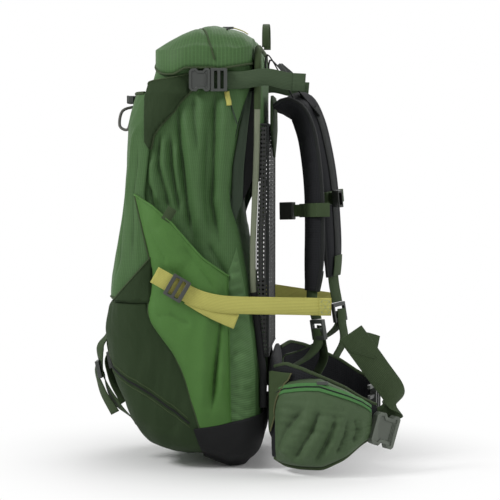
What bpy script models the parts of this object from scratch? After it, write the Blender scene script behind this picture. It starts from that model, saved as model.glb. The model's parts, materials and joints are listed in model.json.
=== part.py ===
"""A hiking backpack with its harness and hip belt. Metres, +Z up, +X the wearer's right, +Y toward the wearer.

The origin is on the flat underside. Pieces that touch keep GAP between them.
"""

import math

import bmesh
import bpy
import numpy as np
from mathutils import Matrix, Vector

GAP = 0.0004
SIDES = {"right": 1.0, "left": -1.0}

# The bag: an open sack with rounded corners, fullest low down in front, hollow behind.
BAG_HALF = 0.140
TOP_HALF = 0.132
BAG_WALL = 0.004
BAG_BOTTOM = 0.0055
BAG_TOP = 0.600
FRONT_CORNER = 0.045
REAR_CORNER = 0.030
CORNER_STEPS = 5
# Height, front, rear and half width of each section.
SECTIONS = (
    (BAG_BOTTOM, -0.026, 0.094, BAG_HALF - 0.042),
    (0.020, -0.050, 0.112, BAG_HALF - 0.020),
    (0.045, -0.064, 0.1180, BAG_HALF - 0.008),
    (0.085, -0.085, 0.1205, BAG_HALF),
    (0.140, -0.108, 0.1200, BAG_HALF),
    (0.200, -0.116, 0.1140, BAG_HALF),
    (0.260, -0.100, 0.1050, BAG_HALF),
    (0.320, -0.090, 0.0930, BAG_HALF),
    (0.380, -0.068, 0.0840, BAG_HALF),
    (0.440, -0.058, 0.0860, BAG_HALF),
    (0.500, -0.054, 0.0970, BAG_HALF),
    (0.540, -0.046, 0.1060, TOP_HALF),
    (0.575, -0.042, 0.1080, TOP_HALF),
    (BAG_TOP, -0.040, 0.1080, TOP_HALF),
)

BOOT_THICK = 0.0045
BOOT_FRONT = 0.018
BOOT_RISE = 0.24
BOOT_EDGE = 0.056

LOWER_PANEL_BOTTOM = 0.012
LOWER_PANEL_TOP = 0.243
LOWER_PANEL_THICK = 0.0035

FRONT_POCKET_BOTTOM = 0.246
FRONT_POCKET_TOP = 0.546
FRONT_POCKET_DEPTH = 0.018
FRONT_POCKET_WALL = 0.003

SIDE_POCKET_DEPTH = 0.024
SIDE_POCKET_WALL = 0.003
# Front edge of the side pocket from its foot up: height and place along Y.
POCKET_EDGE = ((0.066, 0.028), (0.132, 0.004), (0.182, -0.016), (0.247, -0.033), (0.300, -0.030), (0.350, -0.014))
POCKET_REAR = 0.088
POCKET_REAR_TOP = 0.258
POCKET_REAR_FOOT = 0.088

LID_BOTTOM = 0.582
LID_WALL = 0.006
LID_REAR = 0.1072
LID_HINGE = (0.0, 0.1040, 0.6240)

PLATE_HALF = min(TOP_HALF - 0.016, BAG_HALF - 0.024)
PLATE_FRONT = 0.1085
PLATE_THICK = 0.014
PLATE_BOTTOM = 0.475
PLATE_TOP = 0.606
ROD_RADIUS = 0.0045
# The rods stand this far inside the bag's sides, below and at the top.
ROD_INSET = 0.0175
ROD_TOP_INSET = 0.0095
# Height and place along Y of the frame rod.
ROD_LINE = ((0.092, 0.1235), (0.140, 0.1235), (0.200, 0.1165), (0.262, 0.1085), (0.330, 0.1085), (0.400, 0.1115),
            (0.470, 0.1140), (0.585, 0.1155))
MESH_FACE = 0.1300
MESH_THICK = 0.0016
MESH_BOTTOM = 0.166
MESH_TOP = 0.500

YOKE_THICK = 0.006
YOKE_HALF = 0.086
YOKE_BOTTOM = 0.482
YOKE_TOP = 0.545

STRAP_THICK = 0.016
STRAP_WIDTH = 0.064
STRAP_TILT = math.radians(22)
STRAP_RISE = {"right": 0.0, "left": 0.026}
STRAP_OUT = {"right": 0.0, "left": 0.030}
# Middle line of the shoulder strap from the yoke down.
STRAP_LINE = ((0.050, 0.1460, 0.520), (0.055, 0.160, 0.524), (0.061, 0.174, 0.513), (0.069, 0.185, 0.486),
              (0.077, 0.192, 0.445), (0.083, 0.196, 0.400), (0.085, 0.197, 0.346), (0.087, 0.196, 0.295),
              (0.089, 0.193, 0.258))

LOCK_TURN = math.radians(38)

WEBBING = 0.025
NARROW_WEBBING = 0.020
BELT_WEBBING = 0.038
WEB_THICK = 0.0018

# The pad's ends lie under the frame's rods, so both take their place from the bag's sides.
LUMBAR_PAST_ROD = 0.003
LUMBAR_HALF = BAG_HALF - ROD_INSET + LUMBAR_PAST_ROD
LUMBAR_FRONT = 0.1286
LUMBAR_THICK = 0.016
LUMBAR_BOTTOM = 0.040
LUMBAR_TOP = 0.162

WING_THICK = 0.012
WING_FOLD = {"right": 0.0, "left": math.radians(7)}
WING_HINGE = (LUMBAR_HALF, LUMBAR_FRONT + LUMBAR_THICK / 2)
# Plan place, foot and top of the hip wing from its root to its tip.
WING_LINE = ((WING_HINGE[0] + 0.0006, WING_HINGE[1] + 0.0006, 0.020, 0.150), (0.1500, 0.1580, 0.012, 0.158), (0.1620, 0.1800, 0.010, 0.152),
             (0.1665, 0.2100, 0.010, 0.140), (0.1630, 0.2400, 0.024, 0.126), (0.1540, 0.2640, 0.044, 0.110),
             (0.1400, 0.2860, 0.056, 0.098))
BELT_POCKET_DEPTH = 0.024

BUCKLE_WIDTH = 0.033
BUCKLE_THICK = 0.009
BUCKLE_BODY = 0.030
BUCKLE_FRAME = 0.024
PRONG = 0.018

COLOURS = {
    "green": ((0.12, 0.22, 0.05, 1), 0.65, 0.0),
    "bright": ((0.17, 0.32, 0.06, 1), 0.6, 0.0),
    "olive": ((0.09, 0.10, 0.03, 1), 0.8, 0.0),
    "black": ((0.012, 0.013, 0.016, 1), 0.85, 0.0),
    "mesh": ((0.05, 0.055, 0.05, 1), 0.9, 0.0),
    "web": ((0.13, 0.13, 0.05, 1), 0.8, 0.0),
    "yellow": ((0.45, 0.48, 0.05, 1), 0.75, 0.0),
    "plastic": ((0.06, 0.065, 0.06, 1), 0.4, 0.0),
    "alloy": ((0.45, 0.40, 0.30, 1), 0.35, 0.6),
    "cord": ((0.22, 0.23, 0.22, 1), 0.8, 0.0),
}


def clear_scene():
    for found in list(bpy.data.objects):
        bpy.data.objects.remove(found, do_unlink=True)


def material(name, colour):
    rgba, rough, metal = COLOURS[colour]
    made = bpy.data.materials.new(name)
    made.use_nodes = True
    shader = made.node_tree.nodes["Principled BSDF"]
    shader.inputs["Base Color"].default_value = rgba
    shader.inputs["Roughness"].default_value = rough
    shader.inputs["Metallic"].default_value = metal
    return made


def add(name, points, faces, colour, pivot=(0, 0, 0)):
    """One closed object with its faces turned outward and its origin at the pivot."""
    data = bpy.data.meshes.new(name)
    data.from_pydata([Vector(p) - Vector(pivot) for p in points], [], faces)
    work = bmesh.new()
    work.from_mesh(data)
    bmesh.ops.remove_doubles(work, verts=work.verts, dist=1e-6)
    bmesh.ops.recalc_face_normals(work, faces=work.faces)
    if work.calc_volume(signed=True) < 0:
        bmesh.ops.reverse_faces(work, faces=work.faces)
    work.to_mesh(data)
    work.free()
    made = bpy.data.objects.new(name, data)
    made.location = pivot
    data.materials.append(material(name, colour))
    bpy.context.scene.collection.objects.link(made)
    return made


def loft(name, rings, colour, pivot=(0, 0, 0), ring_closed=False):
    """A skin through equal rings, capped at both ends or joined back to its start."""
    count = len(rings[0])
    points = [p for ring in rings for p in ring]
    faces = []
    spans = len(rings) if ring_closed else len(rings) - 1
    for i in range(spans):
        a = i * count
        b = ((i + 1) % len(rings)) * count
        for j in range(count):
            k = (j + 1) % count
            faces.append((a + j, a + k, b + k, b + j))
    if not ring_closed:
        faces.append(tuple(range(count)))
        faces.append(tuple(range((len(rings) - 1) * count, len(rings) * count)))
    return add(name, points, faces, colour, pivot)


def sheet(name, outer, inner, colour, pivot=(0, 0, 0)):
    """A thick sheet between two grids of points with the same rows and columns."""
    rows, columns = len(outer), len(outer[0])
    points = [p for row in outer for p in row] + [p for row in inner for p in row]
    half = rows * columns
    faces = []
    for i in range(rows - 1):
        for j in range(columns - 1):
            a = i * columns + j
            faces.append((a, a + 1, a + columns + 1, a + columns))
            faces.append((half + a, half + a + columns, half + a + columns + 1, half + a + 1))
    border = list(range(columns)) + [i * columns + columns - 1 for i in range(1, rows)]
    border += list(range(rows * columns - 2, (rows - 1) * columns - 1, -1))
    border += [i * columns for i in range(rows - 2, 0, -1)]
    for i, a in enumerate(border):
        b = border[(i + 1) % len(border)]
        faces.append((a, b, half + b, half + a))
    return add(name, points, faces, colour, pivot)


def combine(target, tool, operation):
    """Joins the tool to the target, or cuts it out, and removes the tool."""
    change = target.modifiers.new("change", "BOOLEAN")
    change.operation = operation
    change.object = tool
    change.solver = "EXACT"
    graph = bpy.context.evaluated_depsgraph_get()
    result = bpy.data.meshes.new_from_object(target.evaluated_get(graph))
    target.modifiers.clear()
    target.data = result
    bpy.data.objects.remove(tool, do_unlink=True)
    return target


def block(size, centre, place=None, name="tool", colour="plastic", pivot=(0, 0, 0)):
    place = place or Matrix.Identity(4)
    corners = []
    for x, y, z in np.ndindex(2, 2, 2):
        local = Vector(((x - 0.5) * size[0], (y - 0.5) * size[1], (z - 0.5) * size[2])) + Vector(centre)
        corners.append(place @ local)
    faces = ((0, 1, 3, 2), (4, 6, 7, 5), (0, 4, 5, 1), (2, 3, 7, 6), (0, 2, 6, 4), (1, 5, 7, 3))
    return add(name, corners, faces, colour, pivot)


def basis(origin, along, out):
    """Local x runs along, local z points out, local y across."""
    x = Vector(along).normalized()
    z = Vector(out)
    z = (z - x * z.dot(x)).normalized()
    y = z.cross(x)
    turn = Matrix((x, y, z)).transposed().to_4x4()
    return Matrix.Translation(Vector(origin)) @ turn


def assembly(name, pivot):
    made = bpy.data.objects.new(name, None)
    made.location = pivot
    made.empty_display_size = 0.02
    bpy.context.scene.collection.objects.link(made)
    return made


def hang(child, parent):
    child.parent = parent
    child.matrix_parent_inverse = Matrix.Translation(-Vector(parent.location))
    return child


def extents(z):
    heights = [s[0] for s in SECTIONS]
    return [float(np.interp(z, heights, [s[i] for s in SECTIONS])) for i in (1, 2, 3)]


def arc(cx, cy, radius, start, end):
    angles = np.linspace(math.radians(start), math.radians(end), CORNER_STEPS + 1)
    return [(cx + radius * math.cos(a), cy + radius * math.sin(a)) for a in angles]


def outline(z, offset):
    """The bag's section at this height, grown by the offset, as points in the plane."""
    front, rear, half = extents(z)
    f, r = FRONT_CORNER, REAR_CORNER
    ring = arc(half - r, rear - r, r + offset, 90, 0)
    ring += arc(half - f, front + f, f + offset, 0, -90)
    ring += arc(f - half, front + f, f + offset, -90, -180)
    ring += arc(r - half, rear - r, r + offset, 180, 90)
    return ring


def front_line(z, offset, edge):
    """The front of that section from one side's edge to the other's."""
    front, rear, half = extents(z)
    f = FRONT_CORNER
    edge = max(edge, front + f + 0.001)
    line = [(half + offset, edge)] + arc(half - f, front + f, f + offset, 0, -90)
    line += arc(f - half, front + f, f + offset, -90, -180) + [(-half - offset, edge)]
    return line


def levels(bottom, top):
    return [bottom] + [s[0] for s in SECTIONS if bottom + 0.002 < s[0] < top - 0.002] + [top]


def pocket_edge(z):
    return float(np.interp(z, [p[0] for p in POCKET_EDGE], [p[1] for p in POCKET_EDGE]))


def build_bag():
    heights = [s[0] for s in SECTIONS]
    rings = [[(x, y, z) for x, y in outline(z, 0)] for z in heights]
    inner = [BAG_BOTTOM + BAG_WALL + 0.004] + heights[1:]
    rings += [[(x, y, z) for x, y in outline(z, -BAG_WALL)] for z in reversed(inner)]
    loft("main_bag", rings, "green")


def build_boot():
    def rim(offset):
        heights = [BOOT_EDGE + BOOT_RISE * max(0.0, y - BOOT_FRONT) for x, y in outline(0.060, offset)]
        return [(*outline(z, offset)[k], z) for k, z in enumerate(heights)]

    def level(z, offset, place=None):
        return [(x, y, z if place is None else place) for x, y in outline(z, offset)]

    thick = BOOT_THICK + 0.001
    rings = [level(BAG_BOTTOM, 0.002, 0.0), level(0.010, thick), level(0.020, thick), level(0.045, thick), rim(thick)]
    rings += [rim(0.001), level(0.045, 0.001), level(0.020, 0.001), level(BAG_BOTTOM, 0.001, BAG_BOTTOM - GAP)]
    boot = loft("base_boot", rings, "black")
    reach = 2 * BAG_HALF + 0.1
    cutter = block((reach, 0.3, 0.3), (0, BOOT_FRONT - 0.15, BAG_BOTTOM - GAP - 0.0005 + 0.15))
    combine(boot, cutter, "DIFFERENCE")


def band(name, bottom, top, inside, outside, edge, colour):
    """A panel that wraps the front of the bag between two heights."""
    outer, inner = [], []
    for z in levels(bottom, top):
        outer.append([(x, y, z) for x, y in front_line(z, outside, edge(z))])
        inner.append([(x, y, z) for x, y in front_line(z, inside, edge(z))])
    return sheet(name, outer, inner, colour)


def build_front():
    def lower_edge(z):
        return min(pocket_edge(z), BOOT_FRONT) - 0.002

    def upper_edge(z):
        wing = np.interp(z, (0.246, 0.300, 0.350, 0.440, 0.500, FRONT_POCKET_TOP), (-0.037, -0.034, -0.018, -0.006, 0.002, 0.026))
        return float(wing)

    def hollow_edge(z):
        return upper_edge(z) - FRONT_POCKET_WALL

    band("lower_panel", LOWER_PANEL_BOTTOM, LOWER_PANEL_TOP, GAP, LOWER_PANEL_THICK, lower_edge, "olive")
    pocket = band("front_pocket", FRONT_POCKET_BOTTOM, FRONT_POCKET_TOP, GAP, FRONT_POCKET_DEPTH, upper_edge, "green")
    inside = FRONT_POCKET_DEPTH - FRONT_POCKET_WALL
    floor = FRONT_POCKET_BOTTOM + FRONT_POCKET_WALL
    outer, inner = [], []
    for z in levels(floor, FRONT_POCKET_TOP + 0.01):
        flat = [p for p in front_line(z, inside, hollow_edge(z))]
        near = [p for p in front_line(z, -0.004, hollow_edge(z))]
        outer.append([(x, y, z) for x, y in flat[2:-2]])
        inner.append([(x, y, z) for x, y in near[2:-2]])
    combine(pocket, sheet("hollow", outer, inner, "green"), "DIFFERENCE")


def build_side_pocket(side):
    s = SIDES[side]
    edge = [(y, z) for z, y in POCKET_EDGE]
    face = edge + [(0.041, 0.304), (POCKET_REAR, POCKET_REAR_TOP), (POCKET_REAR, POCKET_REAR_FOOT)]
    middle = (0.035, 0.190)
    inside = BAG_HALF + GAP

    def ring(x, share):
        return [(s * x, middle[0] + (y - middle[0]) * share, middle[1] + (z - middle[1]) * share) for y, z in face]

    outer = inside + SIDE_POCKET_DEPTH
    name = "side_pocket_" + side
    shape = [ring(inside, 1.0), ring(outer - 0.006, 0.985), ring(outer, 0.95)]
    pocket = loft(name, shape, "bright")
    well = [(y, z) for y, z in edge[:-1]]
    front = [(y + SIDE_POCKET_WALL * 1.6, z) for y, z in well[1:]] + [(-0.016, 0.40)]
    floor = [(well[0][0] + 0.006, well[0][1] + 0.008)]
    back = [(POCKET_REAR - 0.006, 0.40), (POCKET_REAR - 0.006, POCKET_REAR_FOOT + 0.006)]
    hole = floor + front + back
    tool = loft("hollow", [[(s * x, y, z) for y, z in hole] for x in (inside - 0.004, outer - SIDE_POCKET_WALL)], "bright")
    combine(pocket, tool, "DIFFERENCE")


def build_lid():
    hinge = assembly("lid_hinge", LID_HINGE)
    side = TOP_HALF + LID_WALL
    front = SECTIONS[-1][1] - 0.008
    # Across the lid: place, share of the crown's height, and how far the front corner draws back.
    slices = ((0.0, 1.0, 0.0), (side - 0.088, 0.98, 0.0), (side - 0.048, 0.90, 0.002), (side - 0.026, 0.76, 0.012),
              (side - 0.010, 0.56, 0.026), (side, 0.34, 0.046))
    rings = []
    for x, share, back in [(-p[0], p[1], p[2]) for p in reversed(slices[1:])] + list(slices):
        start = front + back
        depth = LID_REAR - start
        crown = ((0.0, 0.0), (0.0, 0.020), (0.10, 0.034), (0.30, 0.052), (0.56, 0.064), (0.78, 0.061), (0.94, 0.050),
                 (1.0, 0.042), (1.0, 0.0))
        rings.append([(x, start + a * depth, LID_BOTTOM + h * share) for a, h in crown])
    lid = loft("lid", rings, "green", LID_HINGE)
    mouth = [[(x, y, z) for x, y in outline(z, 0.001)] for z in (LID_BOTTOM - 0.007, BAG_TOP)]
    mouth[1] = [(x, y, z + GAP) for x, y, z in mouth[1]]
    combine(lid, loft("mouth", mouth, "green"), "DIFFERENCE")
    # Behind the sides' flat part the skirt ends above the bag's rim, so that it swings clear of the rear corners.
    flat_end = SECTIONS[-1][2] - REAR_CORNER - 0.010
    under = block((0.40, 0.10, 0.060), (0, flat_end + 0.05, BAG_TOP + 3 * GAP - 0.030))
    combine(lid, under, "DIFFERENCE")
    hang(lid, hinge)
    zip_y = 0.070
    slot = block((0.006, 0.016, 0.003), (0.075, zip_y, 0.6421), name="lid_zip_slider", colour="yellow",
                 pivot=(0.075, zip_y, 0.6421))
    hang(slot, hinge)


def rod_y(z):
    return float(np.interp(z, [p[0] for p in ROD_LINE], [p[1] for p in ROD_LINE]))


def rod_x(z):
    low = BAG_HALF - ROD_INSET
    return float(np.interp(z, (0.44, 0.54), (low, min(low, TOP_HALF - ROD_TOP_INSET))))


def tube(name, points, radius, colour, resolution=2):
    data = bpy.data.curves.new(name, "CURVE")
    data.dimensions = "3D"
    data.bevel_depth = radius
    data.bevel_resolution = resolution
    data.use_fill_caps = True
    line = data.splines.new("POLY")
    line.points.add(len(points) - 1)
    for held, p in zip(line.points, points):
        held.co = (*p, 1)
    made = bpy.data.objects.new(name, data)
    data.materials.append(material(name, colour))
    bpy.context.scene.collection.objects.link(made)
    return made


def build_back():
    bend = 0.030
    bar = PLATE_TOP + ROD_RADIUS + GAP
    foot = ROD_LINE[0][0]
    upright = [(rod_x(z), rod_y(z), z) for z in np.linspace(foot, bar - bend, 22)]
    turn = [(rod_x(bar) - bend + bend * math.cos(a), rod_y(bar), bar - bend + bend * math.sin(a))
            for a in np.linspace(0, math.pi / 2, 7)[1:]]
    right = upright + turn
    tube("frame_hoop", right + [(-x, y, z) for x, y, z in reversed(right)], ROD_RADIUS, "alloy")
    corner = bend - ROD_RADIUS
    plate = []
    for y in (PLATE_FRONT, PLATE_FRONT + PLATE_THICK):
        ring = [(PLATE_HALF, y, PLATE_BOTTOM)]
        ring += [(PLATE_HALF - corner + corner * math.cos(a), y, PLATE_TOP - corner + corner * math.sin(a))
                 for a in np.linspace(0, math.pi / 2, 5)]
        plate.append(ring + [(-x, y, z) for x, y, z in reversed(ring)])
    loft("upper_back_panel", plate, "green")
    rings = []
    for z in np.linspace(MESH_BOTTOM, MESH_TOP, 9):
        half = rod_x(z) + 0.0012
        inner_half = half - MESH_THICK
        back = rod_y(z) + ROD_RADIUS + GAP
        face, behind = MESH_FACE, MESH_FACE + MESH_THICK
        section = [(half, back), (half, behind), (-half, behind), (-half, back), (-inner_half, back)]
        section += [(-inner_half, face), (inner_half, face), (inner_half, back)]
        rings.append([(x, y, z) for x, y in section])
    loft("back_mesh", rings, "mesh")
    near = MESH_FACE + MESH_THICK + GAP
    yoke = []
    for y in (near, near + YOKE_THICK):
        ring = [(YOKE_HALF, y, YOKE_BOTTOM + 0.012), (YOKE_HALF - 0.006, y, YOKE_TOP - 0.010), (0.060, y, YOKE_TOP)]
        ring += [(-x, y, z) for x, y, z in reversed(ring)] + [(0.0, y, YOKE_BOTTOM - 0.030)]
        yoke.append(ring)
    loft("shoulder_yoke", yoke, "olive")
    pad = []
    for y, inset in ((LUMBAR_FRONT, 0.004), (LUMBAR_FRONT + 0.008, 0.0), (LUMBAR_FRONT + LUMBAR_THICK, 0.016)):
        half = LUMBAR_HALF - inset
        low, high = LUMBAR_BOTTOM + inset, LUMBAR_TOP - inset
        ring = [(half, y, low + 0.025), (half, y, high - 0.02), (half - 0.02, y, high), (-half + 0.02, y, high)]
        ring += [(-half, y, high - 0.02), (-half, y, low + 0.025), (-half + 0.03, y, low), (half - 0.03, y, low)]
        pad.append(ring)
    loft("lumbar_pad", pad, "black")
    build_haul_loop()


def build_haul_loop():
    base = PLATE_TOP + 2 * ROD_RADIUS + 3 * GAP
    y = 0.1215
    hinge = assembly("haul_loop_hinge", (0, y, base))
    half, rise = 0.034, 0.037
    line = [(half * math.cos(a), base + rise * math.sin(a) ** 0.6) for a in np.linspace(0, math.pi, 15)]
    rings = []
    middle = Vector((0, base))
    for i, (x, z) in enumerate(line):
        before, after = Vector(line[max(i - 1, 0)]), Vector(line[min(i + 1, len(line) - 1)])
        run = (after - before).normalized()
        out = Vector((run.y, -run.x)) if (Vector((x, z)) - middle).dot(Vector((run.y, -run.x))) > 0 else -Vector((run.y, -run.x))
        near = Vector((x, z)) - out * 0.0024
        rings.append([(x, y - 0.006, z), (x, y + 0.006, z), (near.x, y + 0.006, max(near.y, base)),
                      (near.x, y - 0.006, max(near.y, base))])
    hang(loft("haul_loop", rings, "web", (0, y, base)), hinge)


def ribbon(name, line, across, width, colour, thick=WEB_THICK, pivot=(0, 0, 0)):
    """Flat webbing along a line. Across gives its width's direction at each point or once for all."""
    if isinstance(across[0], (int, float)):
        across = [across] * len(line)
    rings = []
    for i, point in enumerate(line):
        here = Vector(point)
        before, after = Vector(line[max(i - 1, 0)]), Vector(line[min(i + 1, len(line) - 1)])
        run = (after - before).normalized()
        side = Vector(across[i])
        side = (side - run * side.dot(run)).normalized() * (width / 2)
        up = run.cross(side).normalized() * (thick / 2)
        rings.append([here + side + up, here - side + up, here - side - up, here + side - up])
    return loft(name, rings, colour, pivot)


def strap_point(side, i):
    """Point i of the shoulder strap's middle line on this side."""
    x, y, z = STRAP_LINE[i]
    share = i / (len(STRAP_LINE) - 1)
    lift = STRAP_RISE[side] * min(1.0, i / 2) * (1.0 - 0.6 * share)
    out = STRAP_OUT[side] * share
    return Vector((SIDES[side] * x, y + out, z + lift))


def strap_frame(side, i):
    """Middle, run, across and outward directions of the strap at point i."""
    last = len(STRAP_LINE) - 1
    run = (strap_point(side, min(i + 1, last)) - strap_point(side, max(i - 1, 0))).normalized()
    s = SIDES[side]
    flat = Vector((0, run.y, run.z)).normalized()
    out = Vector((0, -flat.z, flat.y))
    across = Vector((s, 0, 0)) * math.cos(STRAP_TILT) + out * math.sin(STRAP_TILT)
    across = (across - run * across.dot(run)).normalized()
    outward = out - run * out.dot(run) - across * out.dot(across)
    return strap_point(side, i), run, across, outward.normalized()


def strap_ring(middle, across, outward, width, thick):
    w, t = width / 2, thick / 2
    shape = ((w, -0.4 * t), (w, 0.4 * t), (w - 0.006, t), (-w + 0.006, t), (-w, 0.4 * t), (-w, -0.4 * t),
             (-w + 0.006, -t), (w - 0.006, -t))
    return [middle + across * a + outward * b for a, b in shape]


def build_shoulder(side):
    s = SIDES[side]
    pivot = strap_point(side, 0)
    hinge = assembly("shoulder_hinge_" + side, pivot)
    rings = []
    radius = STRAP_THICK / 2
    middle, run, across, outward = strap_frame(side, 0)
    across = Vector((s, 0, 0))
    outward = Vector((0, 0, 1))
    ahead = Vector((0, 1, 0))
    for angle in (75, 50, 25, 0):
        turn = math.radians(angle)
        spot = middle - ahead * radius * math.sin(turn)
        rings.append(strap_ring(spot, across, outward, STRAP_WIDTH - 0.004, 2 * radius * math.cos(turn)))
    last = len(STRAP_LINE) - 1
    for i in range(1, last + 1):
        middle, run, across, outward = strap_frame(side, i)
        width = STRAP_WIDTH if i < last - 1 else STRAP_WIDTH - 0.008 * (i - last + 2)
        thick = STRAP_THICK if i < last else 0.011
        rings.append(strap_ring(middle, across, outward, width, thick))
    hang(loft("shoulder_pad_" + side, rings, "black", pivot), hinge)
    build_strap_foot(side, hinge)
    build_lifter(side)
    build_sternum(side, hinge)


def build_strap_foot(side, hinge):
    """The ladder lock below the pad and the webbing that runs from it to the lumbar pad."""
    s = SIDES[side]
    last = len(STRAP_LINE) - 1
    end, run, across, outward = strap_frame(side, last)
    tip = end + run * 0.006
    lock_at = end + Vector((0, 0.010, -0.058))
    tab = [end + run * (GAP + 0.0009), end + run * 0.016 + Vector((0, 0.002, 0)), lock_at + Vector((0, -0.003, 0.0168))]
    turned = Vector((s * math.cos(LOCK_TURN), math.sin(LOCK_TURN), 0))
    hang(ribbon("shoulder_tab_" + side, tab, turned, WEBBING, "web", pivot=end), hinge)
    facing = (-s * math.sin(LOCK_TURN), math.cos(LOCK_TURN), 0.15)
    place = basis(lock_at + Vector((0, 0, 0.001)), (0, 0.15, -1), facing)
    hang(ladder("shoulder_lock_" + side, place, 0.030, 0.030, 0.006, lock_at), hinge)
    foot = lock_at + Vector((0, -0.001, -0.019))
    anchor = Vector((s * (LUMBAR_HALF - 0.026), LUMBAR_FRONT + LUMBAR_THICK + 0.0015, 0.140))
    line = [foot, foot * 0.66 + anchor * 0.34 + Vector((0, 0.004, -0.006)), foot * 0.25 + anchor * 0.75 + Vector((0, 0.002, -0.004)),
            anchor, anchor + Vector((0, -0.0005, -0.018))]
    ribbon("shoulder_webbing_" + side, line, (1, 0, 0), NARROW_WEBBING, "web")


def ladder(name, place, width, length, thick, pivot, colour="plastic"):
    """A flat buckle with two slots and three bars. Local x runs along the webbing."""
    frame = block((length, width, thick), (0, 0, 0), place, name, colour, pivot)
    for shift in (-1, 1):
        tool = block((length * 0.22, width - 0.007, thick * 3), (shift * length * 0.19, 0, 0), place)
        combine(frame, tool, "DIFFERENCE")
    return frame


def build_lifter(side):
    """The load lifter from the top of the back to the top of the shoulder strap, with its lock."""
    s = SIDES[side]
    middle, run, across, outward = strap_frame(side, 2)
    low = middle + outward * (STRAP_THICK / 2 + 0.0036) - Vector((s * 0.004, 0, 0))
    high = Vector((s * 0.056, PLATE_FRONT + PLATE_THICK + 0.0016, 0.597))
    line = [high + Vector((0, 0, -0.014)), high, high + Vector((0, 0.006, 0.004)), high * 0.6 + low * 0.4 + Vector((0, 0.004, 0.002)), low]
    ribbon("load_lifter_" + side, line, (1, 0, 0), NARROW_WEBBING, "web")
    spot = high * 0.72 + low * 0.28 + Vector((0, 0.0087, 0.0061))
    ladder("lifter_lock_" + side, basis(spot, low - high, (0, 0.6, 0.8)), 0.027, 0.022, 0.006, spot)


def build_sternum(side, hinge):
    """A webbing loop that slides on the strap, with a tail and half a small buckle."""
    s = SIDES[side]
    i = 5
    above, below = strap_point(side, i), strap_point(side, i + 1)
    run = (below - above).normalized()
    middle = above * 0.55 + below * 0.45
    ignore, ignored, across, outward = strap_frame(side, i)
    across = (across - run * across.dot(run)).normalized()
    outward = across.cross(run).normalized()
    if outward.y < 0:
        outward = -outward
    w, t = STRAP_WIDTH / 2 + 0.0009, STRAP_THICK / 2 + 0.0009

    def ring(grow, along):
        spots = ((w + grow, t + grow), (-w - grow, t + grow), (-w - grow, -t - grow), (w + grow, -t - grow))
        return [middle + across * a + outward * b + run * along for a, b in spots]

    h = NARROW_WEBBING / 2
    rings = [ring(0, -h), ring(WEB_THICK, -h), ring(WEB_THICK, h), ring(0, h)]
    slide = assembly("sternum_slide_" + side, middle)
    hang(slide, hinge)
    loop = loft("sternum_loop_" + side, rings, "web", middle, ring_closed=True)
    hang(loop, slide)
    toward = -1.0 if side == "right" else 1.0
    start = middle - across * (w - 0.010) + outward * toward * (t + WEB_THICK)
    end = start + outward * toward * (0.007 if side == "right" else 0.013) - across * 0.014
    line = [start + across * 0.014, start, start * 0.4 + end * 0.6 - across * 0.001, end]
    combine(loop, ribbon("tail", line, run, NARROW_WEBBING - 0.002, "web"), "UNION")
    ahead = (end - start).normalized()
    spot = end + ahead * (0.013 + GAP * 2)
    place = basis(spot, ahead, across)
    buckle = block((0.026, 0.026, 0.008), (0, 0, 0), place, "sternum_buckle_" + side, "plastic", middle)
    combine(buckle, block((0.016, 0.018, 0.004), (0.008, 0, 0), place), "DIFFERENCE")
    hang(buckle, slide)


def side_release(prefix, suffix, place, pivot, width=BUCKLE_WIDTH):
    """Both halves of a side release buckle. Local x points from the body to the frame."""
    t = BUCKLE_THICK
    body = block((BUCKLE_BODY, width, t), (-BUCKLE_BODY / 2, 0, 0), place, prefix + "_female" + suffix)
    combine(body, block((BUCKLE_BODY - 0.007, width - 0.010, t * 0.5), (-(BUCKLE_BODY - 0.007) / 2 + 0.001, 0, 0), place), "DIFFERENCE")
    window = block((0.009, width + 0.01, t * 0.5), (-0.0165, 0, 0), place)
    combine(body, window, "DIFFERENCE")
    frame = block((BUCKLE_FRAME, width, t * 0.8), (BUCKLE_FRAME / 2 + GAP, 0, 0), place, prefix + "_male" + suffix, "plastic", pivot)
    for spot in (0.34, 0.72):
        combine(frame, block((0.005, width - 0.008, t * 2), (BUCKLE_FRAME * spot, 0, 0), place), "DIFFERENCE")
    for shift in (-1, 0, 1):
        wide = 0.0045 if shift else 0.0035
        arm = block((PRONG, wide, t * 0.5 - 2 * GAP), (-PRONG / 2 + 0.002, shift * (width / 2 - 0.0085), 0), place)
        combine(frame, arm, "UNION")
    return body, frame


def build_upper_strap(side):
    s = SIDES[side]
    wall = TOP_HALF + GAP
    z = 0.5635
    web_x = wall + WEB_THICK / 2
    line = [(s * web_x, y, z) for y in (0.028, 0.060, 0.095)]
    tail = [(s * (web_x + 0.002), 0.128, z + 0.004), (s * (web_x + 0.003), 0.158, z - 0.002), (s * (web_x + 0.002), 0.184, z - 0.004)]
    ribbon("upper_strap_" + side, line + tail, (0, 0, 1), WEBBING, "web")
    spot = Vector((s * (wall + WEB_THICK + GAP + BUCKLE_THICK / 2), 0.048, z))
    place = basis(spot, (0, 1, 0), (s, 0, 0))
    slide = assembly("upper_release_" + side, spot)
    female, male = side_release("upper_buckle", "_" + side, place, spot)
    hang(male, slide)


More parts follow.
